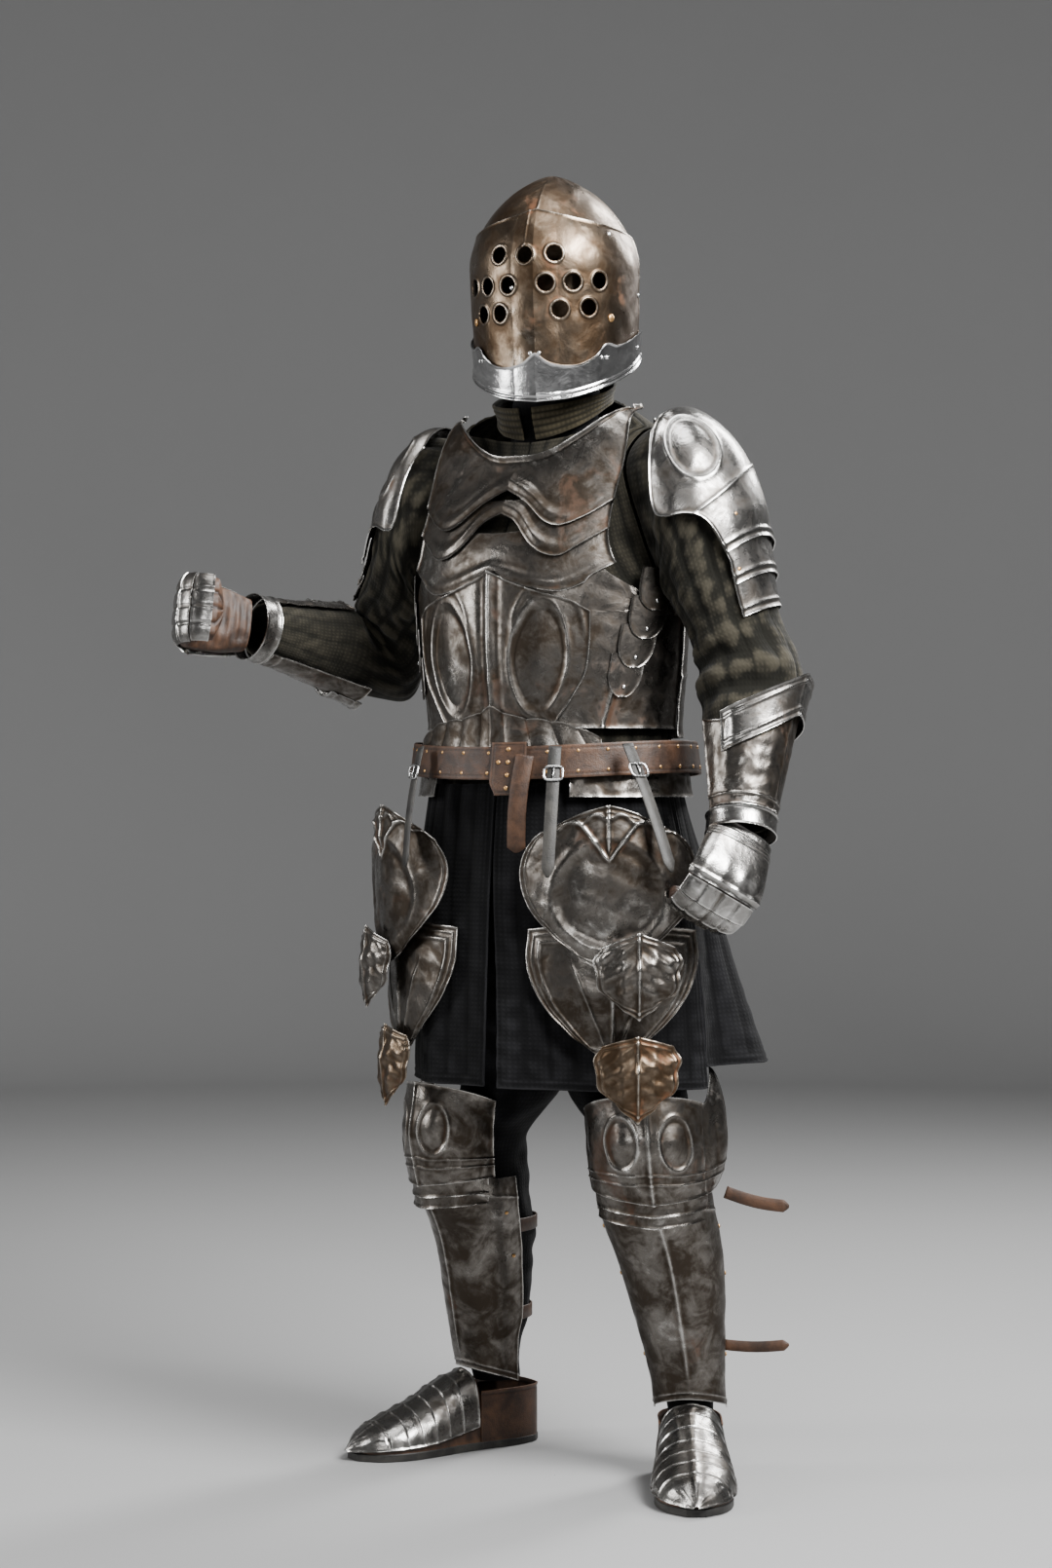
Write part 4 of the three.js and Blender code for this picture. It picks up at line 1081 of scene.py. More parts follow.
def addScales():
    rivets = []
    for name, side in sides.items():
        for k, (middle, low, half) in enumerate(scaleShape["scales"]):
            out = scaleShape["out"] - 0.9 * k + 1.6
            grow = lambda t: np.sqrt(np.clip(1 - (np.clip(0.62 - t, 0, 1) / 0.64) ** 2.2, 0.02, 1))

            def at(u, t, out=out, middle=middle, low=low, half=half, side=side):
                theta = side * (middle + 3.0 * (t - 0.4) + u * half * grow(t)) * deg
                lift = 1.2 * (1 - t)
                return cuirassAt(theta, low + t * scaleShape["high"], out + lift)

            points, u, t = patch(at, 34, 34, [-1, 1], [0, 1])
            relief = rolled(points, 0.9, 0.9, 0.9, width=2.2) + 0.6 * bump(u, 0.6)
            skin(f"side_scale_{k}_{name}", points, "plate_steel", plateSteel, scaleShape["wall"],
                 relief=relief, inside=(0, 0, low), blur=5)
            spot = at(np.array(0.0), np.array(0.22))
            normal = unit(spot * np.array([1, 1, 0]))
            rivets.append(domeParts(spot + normal * 1.2, normal, 3.2, 1.8))
    meshPiece("side_scale_rivets", rivets, "plate_steel", brightSteel, wear_and_relief_shading=0.6)


def addBackplate():
    points, theta, z = patch(
        lambda theta, z: cuirassAt(pi + theta, z, 3.6), 240, 190, both(bladeEdge),
        [1066, lambda s: 1524 - 60 * np.cos(pi * (s - 0.5)) ** 2],
    )
    angle = np.abs(theta) / deg
    relief = rolled(points, left=2.6, right=2.6, low=1.6, high=3.2, width=3.6)
    spine = ease((z - 1100) / 60) * ease((1440 - z) / 50)
    relief = relief + spine * (3.4 * bump(angle, 2.2) - 1.6 * bump(angle - 6, 3))
    relief = relief + dish((angle - 30) / 17, (z - 1372) / 74, 1.5, 2.4, 3.2)
    waist = np.abs(z - 1150 - 14 * np.cos(theta))
    relief = relief + 1.8 * bump(waist, 4) + dents(theta * 190, z, 75, 0.5)
    skin("backplate_steel", points, "plate_steel", plateSteel, plateShape["wall"], "backplate",
         relief=relief, inside=(0, 0, 1250))


# ---- waist ----
waistShape = {
    "band": {"out": 14.4, "edge": 46, "low": 1050, "flutes": 9,
             "top": [[0, 1108], [10, 1094], [30, 1084], [46, 1064]]},
    "belt": {"low": 1006, "high": 1052, "out": 21},
    "lame": {"out": 6, "low": 982, "high": 1044, "from": 33},
    "tongue": {"top": 1040, "foot": 905},
}


def beltAt(theta, z, out=0.0):
    points = cuirassAt(theta, z, waistShape["belt"]["out"] + out - np.cos(theta))
    return points + xyz(0, 0, 10 * np.sin(theta) ** 2)


def addWaist():
    band, belt, lame = waistShape["band"], waistShape["belt"], waistShape["lame"]
    scallop = lambda angle: 3.2 * np.abs(np.cos(pi * angle / 10.2)) ** 0.6
    top = lambda s: byAngle(band["edge"], band["top"])(s) + scallop((2 * s - 1) * band["edge"]) - 1
    points, theta, z = patch(
        lambda theta, z: cuirassAt(theta, z, band["out"]), 300, 46,
        [-band["edge"] * deg, band["edge"] * deg], [band["low"], top],
    )
    fan = theta / deg * (1 + 0.004 * (z - 1080))
    relief = 2.4 * np.abs(np.sin(pi * fan / 10.2 + pi / 2)) ** 0.6
    relief = relief + rolled(points, 1.0, 1.0, 0, 0.9, 2.0) - 1.4
    relief = relief + 1.5 * bump(theta / deg, 1.2)
    skin("waist_band_steel", points, "plate_steel", plateSteel, plateShape["wall"], "waist_band",
         relief=relief, inside=(0, 0, 1070), blur=6)

    points, theta, z = hoop(lambda theta, z: beltAt(theta, z), 420, 26, [belt["low"], belt["high"]])
    low, high = borderDistances(points)[2:]
    edge = np.minimum(low, high)
    stitches = 0.5 * bump(edge - 5, 1.2) * np.sin(theta * 180)
    relief = 0.9 * ease(edge / 3) - 0.7 * bump(edge - 5, 1.6)
    relief = relief + stitches + 0.5 * waves(theta * 210, z, 60, 81)
    skin("belt_leather", points, "leather", brownLeather, 3, "belt", wrap=True, relief=relief, blur=6)

    points, theta, z = patch(
        lambda theta, z: cuirassAt(theta, z, lame["out"]), 420, 34,
        [lame["from"] * deg, (360 - lame["from"]) * deg], [lame["low"], lame["high"]],
    )
    relief = rolled(points, 1.0, 1.0, 1.2, 0, 2.6) + dents(theta * 200, z, 83, 0.6, 30)
    skin("fauld_lame_steel", points, "plate_steel", plateSteel, plateShape["wall"], "fauld_lame",
         relief=relief, inside=(0, 0, 1013), blur=6)

    tongue = waistShape["tongue"]
    t = np.linspace(0, 1, 40)
    path = xyz(60 - 8 * t, -178 - 8 * np.sin(pi * t) - 10 * t, mix(tongue["top"], tongue["foot"], t))
    strip = bandParts(path, (1, 0.38, 0), 26, 3, pointedEnd(40, 3))
    meshPiece("belt_tongue_leather", [strip], "leather", brownLeather, "belt_tongue", wear_and_relief_shading=0.2)

    # studs along the belt
    studs = []
    for theta in np.arange(0, 360, 12.0) * deg:
        for level in (belt["low"] + 9, belt["high"] - 9):
            spot = beltAt(np.array(theta), np.array(level), 0.6)
            studs.append(domeParts(spot, xyz(np.sin(theta), -np.cos(theta), 0), 2.6, 1.4))
    meshPiece("belt_studs", studs, "plate_steel", oldBrass, wear_and_relief_shading=0.2)


keeperShape = {"angle": 9, "low": 984, "high": 1058, "half": 22, "out": 4.2}


def addKeeper():
    # the leather keeper hanging over the belt in front, with five studs in a cross
    shape = keeperShape

    def at(u, z):
        half = shape["half"] * (1 - 0.35 * ease((1004 - z) / 22)) / 178
        return beltAt(shape["angle"] * deg + u * half, z, shape["out"])

    points, u, z = patch(at, 40, 60, [-1, 1], [shape["low"], shape["high"]])
    edge = np.minimum.reduce(borderDistances(points))
    relief = 0.8 * ease(edge / 2.5) - 0.6 * bump(edge - 4, 1.2)
    skin("belt_keeper", points, "leather", brownLeather, 2.4, relief=relief, inside=(0, 0, 1020), blur=5)
    studs = []
    for across, level in ((0, 1012), (0, 1030), (0, 1048), (-0.55, 1030), (0.55, 1030), (0, 994)):
        spot = at(np.array(float(across)), np.array(float(level)))
        normal = unit(spot * np.array([1, 1, 0]))
        studs.append(domeParts(spot + normal * 0.8, normal, 3.4, 2.2))
    meshPiece("belt_keeper_studs", studs, "plate_steel", oldBrass, wear_and_relief_shading=0.3)


addBreast()
addPlackart()
addScales()
addBackplate()
addWaist()
addKeeper()
print("cuirass and belt made")


# ---- helmet ----
helmetShape = {
    # height, half width, front depth, back depth
    "sections": [
        [1530, 106, 124, 96], [1570, 110, 129, 106], [1620, 113, 133, 115], [1680, 116, 135, 120],
        [1736, 117.5, 134, 122],
    ],
    "widest": 1736,
    "apex": 1873,
    "pivot": (7, -6, 1600),
    "turn": 19,
    "nod": 7,
    "rim": [[0, 1557], [25, 1562], [50, 1576], [75, 1594], [101, 1612], [140, 1600], [180, 1584]],
    "cusp": [[0, 64], [10, 48], [28, 40], [42, 45], [50, 56], [60, 46], [86, 42], [104, 38]],
    "breaths": [
        (-26, 1759), (-5.5, 1757), (14, 1758), (-54, 1716), (-37, 1716), (-18.5, 1716), (8, 1717),
        (26, 1718), (45, 1719), (-43, 1677), (-26, 1677), (17, 1680), (37, 1682),
    ],
    "breathRadius": 11.5,
    "wall": 1.5,
}


def headPlace(points):
    turn, nod = helmetShape["turn"] * deg, helmetShape["nod"] * deg
    aboutX = np.array([[1, 0, 0], [0, np.cos(nod), -np.sin(nod)], [0, np.sin(nod), np.cos(nod)]])
    aboutZ = np.array([[np.cos(turn), -np.sin(turn), 0], [np.sin(turn), np.cos(turn), 0], [0, 0, 1]])
    return (points - [0, 0, 1600]) @ (aboutZ @ aboutX).T + np.array(helmetShape["pivot"], float)


def helmetAt(theta, z, out=0.0):
    # level ovals, drawn in over the crown by a power of their height, with a keel down the front
    shape = helmetShape
    rise = np.clip((z - shape["widest"]) / (shape["apex"] - shape["widest"]), 0, 1)
    narrow = np.maximum(1 - rise**2, 0) ** 0.66
    rows = rowsAt(shape["sections"], np.minimum(z, shape["widest"]))
    round_ = np.arctan2(np.sin(theta), np.cos(theta))
    keel = 6 * np.maximum(0, 1 - np.abs(round_) / (16 * deg)) * narrow
    deep = np.where(np.cos(theta) > 0, rows[..., 2], rows[..., 3])
    across = (rows[..., 1] + out) * narrow * np.sin(theta)
    return headPlace(xyz(across, -(deep + keel + out) * narrow * np.cos(theta), z + out * rise**2))


def rimAt(theta):
    return curveAt(helmetShape["rim"], np.abs(np.arctan2(np.sin(theta), np.cos(theta))) / deg)


def browAt(theta):
    angle = np.abs(np.arctan2(np.sin(theta), np.cos(theta))) / deg
    return mix(1812 - 0.5 * angle, rimAt(theta), ease((angle - 84) / 14))


def addHelmet():
    shape = helmetShape
    middle = (7, -6, 1650)
    points, theta, z = hoop(
        lambda theta, t: helmetAt(theta, mix(browAt(theta), shape["apex"] - 0.05, np.sin(t * pi / 2))),
        260, 110, [0, 1],
    )
    low = borderDistances(points)[2]
    angle = np.abs(np.arctan2(np.sin(theta), np.cos(theta)))
    relief = 1.4 * bump(low, 3) * ease((angle / deg - 80) / 20) + dents(theta * 115, z * 140, 91, 0.4)
    relief = relief + 1.2 * bump(angle * 115, 3.5) * (1 - z) + 1.0 * bump((pi - angle) * 115, 4) * (1 - z)
    skin("helmet_crown", points, "rusty_steel", brownedSteel, shape["wall"], "helmet_skull", wrap=True,
         relief=relief, inside=middle)

    # the face plate, its breaths cut by leaving out faces and drawing the ring of corners onto a circle
    out = 3.8
    at = lambda theta, z: helmetAt(theta, z, out)
    vEdges = [lambda s: rimAt(mix(-96, 96, s) * deg) + 2, lambda s: browAt(mix(-80, 80, s) * deg) + 8]
    points, theta, z = patch(at, 420, 260, [-96 * deg, 96 * deg], vEdges)
    relief = dents(theta * 125, z, 92, 0.4) + rolled(points, 1.2, 1.2, 0, 1.3, 2.4)
    keep = np.ones((points.shape[0] - 1, points.shape[1] - 1), bool)
    radius = shape["breathRadius"]
    for angle, level in shape["breaths"]:
        centre = at(np.array(angle * deg), np.array(float(level)))
        away = points - centre
        distance = np.linalg.norm(away, axis=-1)
        inside = distance < radius
        corners = inside[:-1, :-1] | inside[1:, :-1] | inside[:-1, 1:] | inside[1:, 1:]
        keep &= ~corners
        edge = np.zeros_like(inside)
        edge[:-1, :-1] |= corners
        edge[1:, :-1] |= corners
        edge[:-1, 1:] |= corners
        edge[1:, 1:] |= corners
        ring = edge & ~inside
        near = ring & (distance < radius + 3)
        onCircle = centre + away / np.maximum(distance, 1e-6)[..., None] * radius
        points = np.where(near[..., None], onCircle, points)
        relief = np.maximum(relief, relief + 1.5 * bump(distance - radius - 2.2, 1.8))
    relief = relief + 1.0 * bump(theta * 125 + 14, 1.6) * ease((z - 1745) / 20)
    skin("helmet_face", points, "rusty_steel", brownedSteel, shape["wall"], "helmet_visor",
         relief=relief, inside=middle, keep=keep, blur=8)

    def bandAt(theta, t):
        foot = rimAt(theta) - 4
        high = curveAt(shape["cusp"], np.minimum(np.abs(theta) / deg, 104))
        return helmetAt(theta, mix(foot, foot + high + 4, t), 7.4)

    points, theta, t = patch(bandAt, 420, 44, [-104 * deg, 104 * deg], [0, 1])
    low, high = borderDistances(points)[2:]
    relief = 2.6 * bump(low - 1, 2.4) + 1.6 * bump(low - 8, 2.0) + 1.5 * bump(high, 1.8)
    relief = relief + rolled(points, 1.2, 1.2, 0, 0, 2.4)
    skin("helmet_band_steel", points, "bright_steel", brightSteel, shape["wall"], "helmet_band",
         relief=relief, inside=middle, blur=5, wear_and_relief_shading=0.2)

    studs, spots = [], []
    for theta, z, out in (
        (-3, 1620, 8), (3, 1620, 8), (-50, 1612, 8), (-46, 1612, 8), (46, 1612, 8), (50, 1612, 8),
        (-86, 1626, 8), (86, 1626, 8), (-16, 1712, 4), (58, 1784, 4), (-92, 1700, 4), (92, 1700, 4),
    ):
        spot, normal = onSurface(lambda a, b: helmetAt(a, b, out), theta * deg, float(z), inside=middle)
        studs.append(domeParts(spot, normal, 3.2, 1.8))
    for theta in (-54.5, 54.5):
        spot, normal = onSurface(lambda a, b: helmetAt(a, b, 4.6), theta * deg, 1667.0, inside=middle)
        spots.append(domeParts(spot, normal, 6, 2.2))
    meshPiece("helmet_rivets", studs, "bright_steel", brightSteel, wear_and_relief_shading=0.5)
    meshPiece("helmet_pivots", spots, "bright_steel", oldBrass, wear_and_relief_shading=0.4)


# ---- shoulders and arms ----
shoulderShape = {
    "front": [[0.4, 36], [1.2, 88], [2, 88], [3, 60], [4, 46]],
    "back": [[0.4, -46], [1.2, -84], [2, -92], [4, -88]],
    "wall": 1.6,
}
vambraceTable = [[20, 78, 1], [78, 68.5, 0], [130, 60.5, 0], [178, 53, 0], [222, 47, 0]]


def addShoulders():
    shape = shoulderShape
    for name, side in sides.items():
        tubeAt = armTube(name)
        edges = [lambda t: curveAt(shape["back"], t) * deg, lambda t: curveAt(shape["front"], t) * deg]
        middle = (side * 150, 0, 1330)
        for part, out, low, high, grid in (
            ("pauldron", lambda t: 16 - 3 * np.maximum(0, t - 2), 0.5, lambda s: 3.55 + 0.3 * s, (200, 170)),
            ("pauldron_lame_1", lambda t: 7.6 + 0 * t, 3.2, lambda s: 4.15 + 0.3 * s, (160, 60)),
            ("pauldron_lame_2", lambda t: 4.2 + 0 * t, lambda s: 3.9 + 0.2 * s,
             lambda s: 4.7 + 0.35 * s, (160, 60)),
        ):
            points, phi, t = patch(lambda phi, t: tubeAt(phi, t, out(t)), *grid, edges, [low, high])
            toLow = borderDistances(points)[3]
            relief = rolled(points, 2.0, 2.6, 1.2, 2.0, 3.2) + dents(phi * 90, t * 45, 101, 0.5)
            relief = relief + 1.5 * bump(toLow - 11, 3)
            if part == "pauldron":
                relief = relief + dish((phi / deg - 38) / 22, (t - 1.75) / 0.72, 1.4, 2.6, 3.6)
                step = t - 2.45 - 0.35 * np.sin(phi * 1.6 + 0.4)
                relief = relief + 1.6 * ease(step / 0.05) + 1.2 * bump(step - 0.04, 0.05)
            skin(part + "_steel_" + name, points, "plate_steel", shoulderSteel, shape["wall"],
                 part + "_" + name, relief=relief, inside=middle)
        rivets = []
        for phi, t, lift in ((30, 3.3, 11.5), (34, 3.75, 9), (38, 4.2, 6), (-50, 3.3, 11.5), (-52, 4.1, 6)):
            spot, normal = onSurface(lambda a, b: tubeAt(a, b, lift), phi * deg, t, 0.8, middle)
            rivets.append(domeParts(spot, normal, 3.4, 2))
        meshPiece("pauldron_rivets_" + name, rivets, "plate_steel", oldBrass, wear_and_relief_shading=0.4)


def foreArm(name):
    # round the forearm's own axis; the radius, and a shift along the outer side, by distance
    elbow, _, along, outer, front = armAxes(name)

    def at(phi, u, out=0.0):
        r = rowsAt(vambraceTable, np.maximum(u, 20))
        far = (r[..., 1] + out)[..., None]
        ring = far * (np.cos(phi)[..., None] * outer + np.sin(phi)[..., None] * front)
        return elbow + along * np.asarray(u)[..., None] + ring + outer * r[..., 2:3]

    return at


def addForearms():
    for name, side in sides.items():
        at = foreArm(name)
        elbow, wrist, along, outer, front = armAxes(name)
        middle = elbow + along * 120
        crease = lambda phi: 52 * np.clip(np.sin(phi), 0, 1)
        turn = lambda s: mix(-128, 128, s) * deg
        points, phi, u = patch(at, 240, 180, [-128 * deg, 128 * deg], [lambda s: 40 + crease(turn(s)), 212])
        relief = rolled(points, 1.2, 1.2, 1.5, 2.2, 2.8) + dents(phi * 60, u, 111, 0.5, 30)
        relief = relief + 1.5 * bump(phi * 60, 3) + 1.4 * bump(u - 196, 2.2)
        skin("vambrace_steel_" + name, points, "plate_steel", plateSteel, 1.4, "vambrace_" + name,
             relief=relief, inside=middle)
        arc = lambda s: mix(-100, 100, s) * deg
        points, phi, u = patch(
            lambda phi, u: at(phi, u, 4 * ease((100 - np.abs(phi) / deg) / 20)) + outer * 4, 220, 110,
            [-100 * deg, 100 * deg],
            [lambda s: 26 - 18 * np.cos(arc(s)) + crease(arc(s)),
             lambda s: 84 - 14 * np.cos(arc(s)) + crease(arc(s))],
        )
        low, high = borderDistances(points)[2:]
        relief = rolled(points, 1.6, 1.6, 2.6, 2.4, 3.4) + 2.2 * bump(phi * 70, 4)
        relief = relief + 1.2 * bump(low - 12, 3) + 1.2 * bump(high - 12, 3) + dents(phi * 70, u, 112, 0.4)
        skin("couter_steel_" + name, points, "plate_steel", shoulderSteel, 1.5, "couter_" + name,
             relief=relief, inside=middle)


# ---- hands ----
handShape = {
    # share, along the aim, along the back, width, thickness
    "left": {
        "aim": (-5, -60, -84), "back": (0.75, -0.45, 0.3),
        "path": [[0, 0, 0, 40, 26], [1, 38, 4, 47, 22], [2, 78, 8, 50, 18], [3, 106, -6, 49, 14],
                 [4, 115, -31, 47, 13], [5, 104, -56, 45, 12.5], [6, 80, -66, 43, 12]],
    },
    "right": {
        "aim": (-36, -92, 17), "back": (-0.925, 0.283, -0.067),
        "path": [[0, 0, 0, 38, 24], [1, 40, 5, 47, 20], [2, 78, 12, 50, 15], [3, 103, 2, 49, 13.5],
                 [4, 113, -23, 48, 13], [5, 103, -48, 46, 12.5], [6, 78, -58, 44, 12]],
    },
}


def handAt(name):
    # ovals of a soft square section carried round the closed hand
    shape = handShape[name]
    wrist = np.array(armShape[name]["wrist"], float)
    aim = unit(np.array(shape["aim"], float))
    back = np.array(shape["back"], float)
    back = unit(back - aim * (back @ aim))
    thumb = np.cross(aim, back) * sides[name]
    soft = lambda x: np.sign(x) * np.abs(x) ** 0.72

    def at(phi, t, out=0.0):
        r = rowsAt(shape["path"], t)
        after = rowsAt(shape["path"], np.clip(t + 0.05, 0, 6))
        step = after - rowsAt(shape["path"], np.clip(t - 0.05, 0, 6))
        ahead = unit(step[..., 1:3])
        lift = (r[..., 4] + out) * soft(np.cos(phi))
        d, b = r[..., 1] - ahead[..., 1] * lift, r[..., 2] + ahead[..., 0] * lift
        wide = (r[..., 3] + out) * soft(np.sin(phi))
        return wrist + d[..., None] * aim + b[..., None] * back + wide[..., None] * thumb

    return at


def addHands():
    for name, side in sides.items():
        at = handAt(name)
        close = lambda t: np.where(t > 5.6, np.sqrt(np.clip((6.02 - t) / 0.42, 0.0, 1)), 1.0)
        middle = at(np.array(0.0), np.array(3.0)) * 0.5 + at(np.array(pi), np.array(1.0)) * 0.5
        points, phi, t = hoop(
            lambda phi, t: mix(at(phi, t).mean(1, keepdims=True), at(phi, t), close(t)[..., None]),
            180, 200, [0.12, 6],
        )
        wide = np.sin(phi)
        fingers = ease((t - 2.2) / 0.5)
        grooves = sum(bump(np.abs(wide) ** 0.72 * np.sign(wide) - g, 0.07) for g in (-0.5, 0, 0.5))
        relief = -2.2 * fingers * grooves + 0.8 * waves(phi * 40, t * 30, 30, 121)
        relief = relief + 1.0 * np.sin(t * 22) * bump(np.cos(phi) + 1, 0.5) * 0.5
        skin("glove_leather_" + name, points, "leather", brownLeather, 2, "glove_" + name, wrap=True,
             relief=relief, blur=6)

        # the back of the hand in one plate, the fingers in rows of small overlapping plates
        for k, (start, end) in enumerate(((0.2, 2.45), (2.5, 3.2), (3.25, 3.9), (3.95, 4.55), (4.6, 5.35))):
            arc = 80 if k == 0 else 76
            out = 4.4 if k == 0 else 3.4
            points, phi, t = patch(
                lambda phi, t: at(phi, t, out + 1.2 * (t - start) / (end - start)),
                150, 90 if k == 0 else 30,
                [-arc * deg, arc * deg], [start, end],
            )
            wide = np.abs(np.sin(phi)) ** 0.72 * np.sign(np.sin(phi))
            low, high = borderDistances(points)[2:]
            relief = rolled(points, 0.8, 0.8, 0.9, 0.9, 1.8)
            if k == 0:
                relief = relief + 1.0 * sum(bump(low - d, 1.4) for d in (12, 17, 22))
                relief = relief + 1.8 * bump(high - 9, 2.6)
                relief = relief + sum(1.6 * bump(wide - g, 0.14) for g in (-0.75, -0.25, 0.25, 0.75)) * ease(
                    (t - 1.3) / 0.8
                )
            else:
                relief = relief - 2.0 * sum(bump(wide - g, 0.06) for g in (-0.5, 0, 0.5))
            label = "gauntlet_back_" if k == 0 else f"gauntlet_fingers_{k}_"
            finish = shoulderSteel
            skin(label + name, points, "bright_steel", finish, 1.1, "gauntlet_" + name if k == 0 else None,
                 relief=relief, inside=middle, blur=5)
        # the flared cuff of the gauntlet, dark, with a bright rim
        fore = foreArm(name)
        points, phi, u = hoop(lambda phi, u: fore(phi, u, 1.4 + (u - 214) * 0.02), 160, 30, [214, 240])
        low, high = borderDistances(points)[2:]
        skin("gauntlet_cuff_" + name, points, "bright_steel", shoulderSteel, 1.2, wrap=True,
             relief=1.4 * bump(low, 2.2) + 1.0 * bump(high, 2.0), blur=5)


addHelmet()
addShoulders()
addForearms()
addHands()
print("helmet, arms and hands made")


# ---- tassets ----
tassetShape = {
    "left": {"face": 31, "at": (176, -146), "leaf": (228, -152), "knee": (226, -152)},
    "right": {"face": -34, "at": (-174, -142), "leaf": (-214, -136), "knee": (-184, -138)},
    "shield": [[0, 0.62], [0.12, 0.86], [0.34, 1], [0.6, 0.9], [0.82, 0.62], [1, 0.3]],
    "wide": [[0, 0.98], [0.3, 1], [0.6, 0.82], [0.85, 0.5], [1, 0.22]],
    "leaf": [[0, 0.8], [0.25, 1], [0.5, 0.94], [0.8, 0.86], [1, 0.5]],
    "wall": 1.6,
}


def hangingAt(face, centre, tip, half, high, bend, bulge, outline, top, foot):
    # a plate bent round an upright axis and bulged between top and point, turned to face outward
    f, n = face * deg, tip * deg
    aboutX = np.array([[1, 0, 0], [0, np.cos(n), -np.sin(n)], [0, np.sin(n), np.cos(n)]])
    aboutZ = np.array([[np.cos(f), -np.sin(f), 0], [np.sin(f), np.cos(f), 0], [0, 0, 1]])

    def at(u, t):
        w = u * half * curveAt(outline, t)
        z = -mix(top(u), high - foot(u), t)
        back = bend * (1 - np.cos(w / bend)) + bulge * (2 * t - 1) ** 2
        return xyz(bend * np.sin(w / bend), back, z) @ (aboutZ @ aboutX).T + centre

    return at


def addTassets():
    shape = tassetShape
    for name, side in sides.items():
        own = shape[name]
        face, (x, y) = own["face"], own["at"]
        ahead = np.array([np.sin(face * deg), -np.cos(face * deg), 0])
        put = lambda px, py, z, out: np.array([px, py, z], float) + out * ahead
        a = np.abs
        plates = (
            ("upper", "tasset_upper_", (face, put(x, y, 970, 34), 2, 138, 226, 165, 8, shape["shield"],
             lambda u: 34 * a(u) ** 1.4, lambda u: 20 * u * u), plateSteel, "plate_steel"),
            ("lower", "tasset_lower_", (face, put(x + 6, y, 806, 8), 0, 126, 192, 200, 8, shape["wide"],
             lambda u: 8 * u * u, lambda u: 20 * u * u), plateSteel, "plate_steel"),
            ("leaf", "tasset_leaf_upper_", (face + 4 * side, put(*own["leaf"], 796, 26), 0, 66, 118, 90, 8,
             shape["leaf"], lambda u: 20 * a(u), lambda u: 26 * a(u)), plateSteel, "plate_steel"),
            ("leaf", "tasset_leaf_lower_", (face + 2 * side, put(*own["knee"], 655, 22), 0, 64, 118, 90, 8,
             shape["leaf"], lambda u: 14 * a(u), lambda u: 30 * a(u)), brownedSteel, "rusty_steel"),
        )
        for kind, prefix, spec, finish, slot in plates:
            at = hangingAt(*spec)
            big = kind != "leaf"
            points, u, t = patch(at, 200 if big else 130, 200 if big else 150, [-1, 1], [0, 1])
            half, high = spec[3], spec[4]
            across = u * half * curveAt(spec[7], t)
            down = t * high
            edge = np.minimum.reduce(borderDistances(points))
            relief = 2.0 * bump(edge - 1, 2.6) + 1.1 * bump(edge - 9, 2.2)
            relief = relief + dents(across, down, 131 + len(prefix), 0.7, 44)
            if kind == "upper":
                stem = bump(across, 3.2) * ease((0.34 - t) / 0.1)
                fork = bump(a(across) - (0.34 - t) * 150, 3.4)
                fork = fork * ease((0.36 - t) / 0.05) * ease((t - 0.02) / 0.08)
                relief = relief + 3.4 * np.maximum(stem, fork)
                relief = relief + dish(across / 84, (t - 0.54) / 0.34, 2.0, 3.4, 1.6)
                relief = relief + 2.4 * bump(t - 0.06 - 0.02 * np.cos(across / 6), 0.018)
            elif kind == "lower":
                relief = relief + 2.6 * bump(across, 2.8) + 1.6 * bump(edge - 20, 3)
                relief = relief + 1.4 * bump(a(across) - (1 - t) * 80, 2.6) * ease((t - 0.2) / 0.2)
            else:
                veins = np.sin((down - 0.9 * a(across)) / 3.4) * (1 - 0.4 * t)
                relief = relief + 2.4 * bump(across, 2.6) + 0.5 * veins * ease((edge - 7) / 8)
                relief = relief + 1.6 * waves(across, down, 42, 140) + 1.8 * bump(a(across) - 24 + 6 * t, 7)
            skin(prefix + "steel_" + name, points, slot, finish, shape["wall"], prefix + name,
                 relief=relief, inside=(0, 0, 850), blur=12)

    for label, nodeName, start, end in (
        ("inner", "tasset_strap_left_inner", (108, -176, 1052), (126, -226, 872)),
        ("outer", "tasset_strap_left_outer", (192, -122, 1056), (276, -146, 880)),
        ("right", "tasset_strap_right", (-122, -166, 1052), (-112, -220, 884)),
    ):
        start, end = np.array(start, float), np.array(end, float)
        ahead = unit(np.array([start[0] + end[0], start[1] + end[1], 0.0]))
        t = np.linspace(0, 1, 40)
        path = start + (end - start) * t[:, None] + ahead * (5 * np.sin(pi * t))[:, None]
        across = np.cross(ahead, [0, 0, 1])
        strap = bandParts(path, across, 18, 2.4, pointedEnd(40, 4))
        meshPiece("strap_tasset_" + label, [strap], "dark_leather", greyLeather, nodeName, wear_and_relief_shading=0.1)
        # its buckle: a rounded frame of wire and a pin
        centre = path[8] + ahead * 3.4
        down = unit(path[9] - path[8])
        turn = np.linspace(0, 2 * pi, 28, endpoint=False)
        square = lambda x: np.sign(x) * np.abs(x) ** 0.5
        wide, long = (13 * square(np.cos(turn)))[:, None], (10 * square(np.sin(turn)))[:, None]
        loop = centre + wide * across + long * down
        pin = np.array([centre - down * 10, centre + ahead * 1.5, centre + down * 11])
        buckle = [tube(loop, 1.7, 8, True, ahead), tube(pin, 1.3, 8, sideways=across)]
        meshPiece("buckle_tasset_" + label, buckle,
                  "plate_steel", brightSteel, wear_and_relief_shading=0.3)


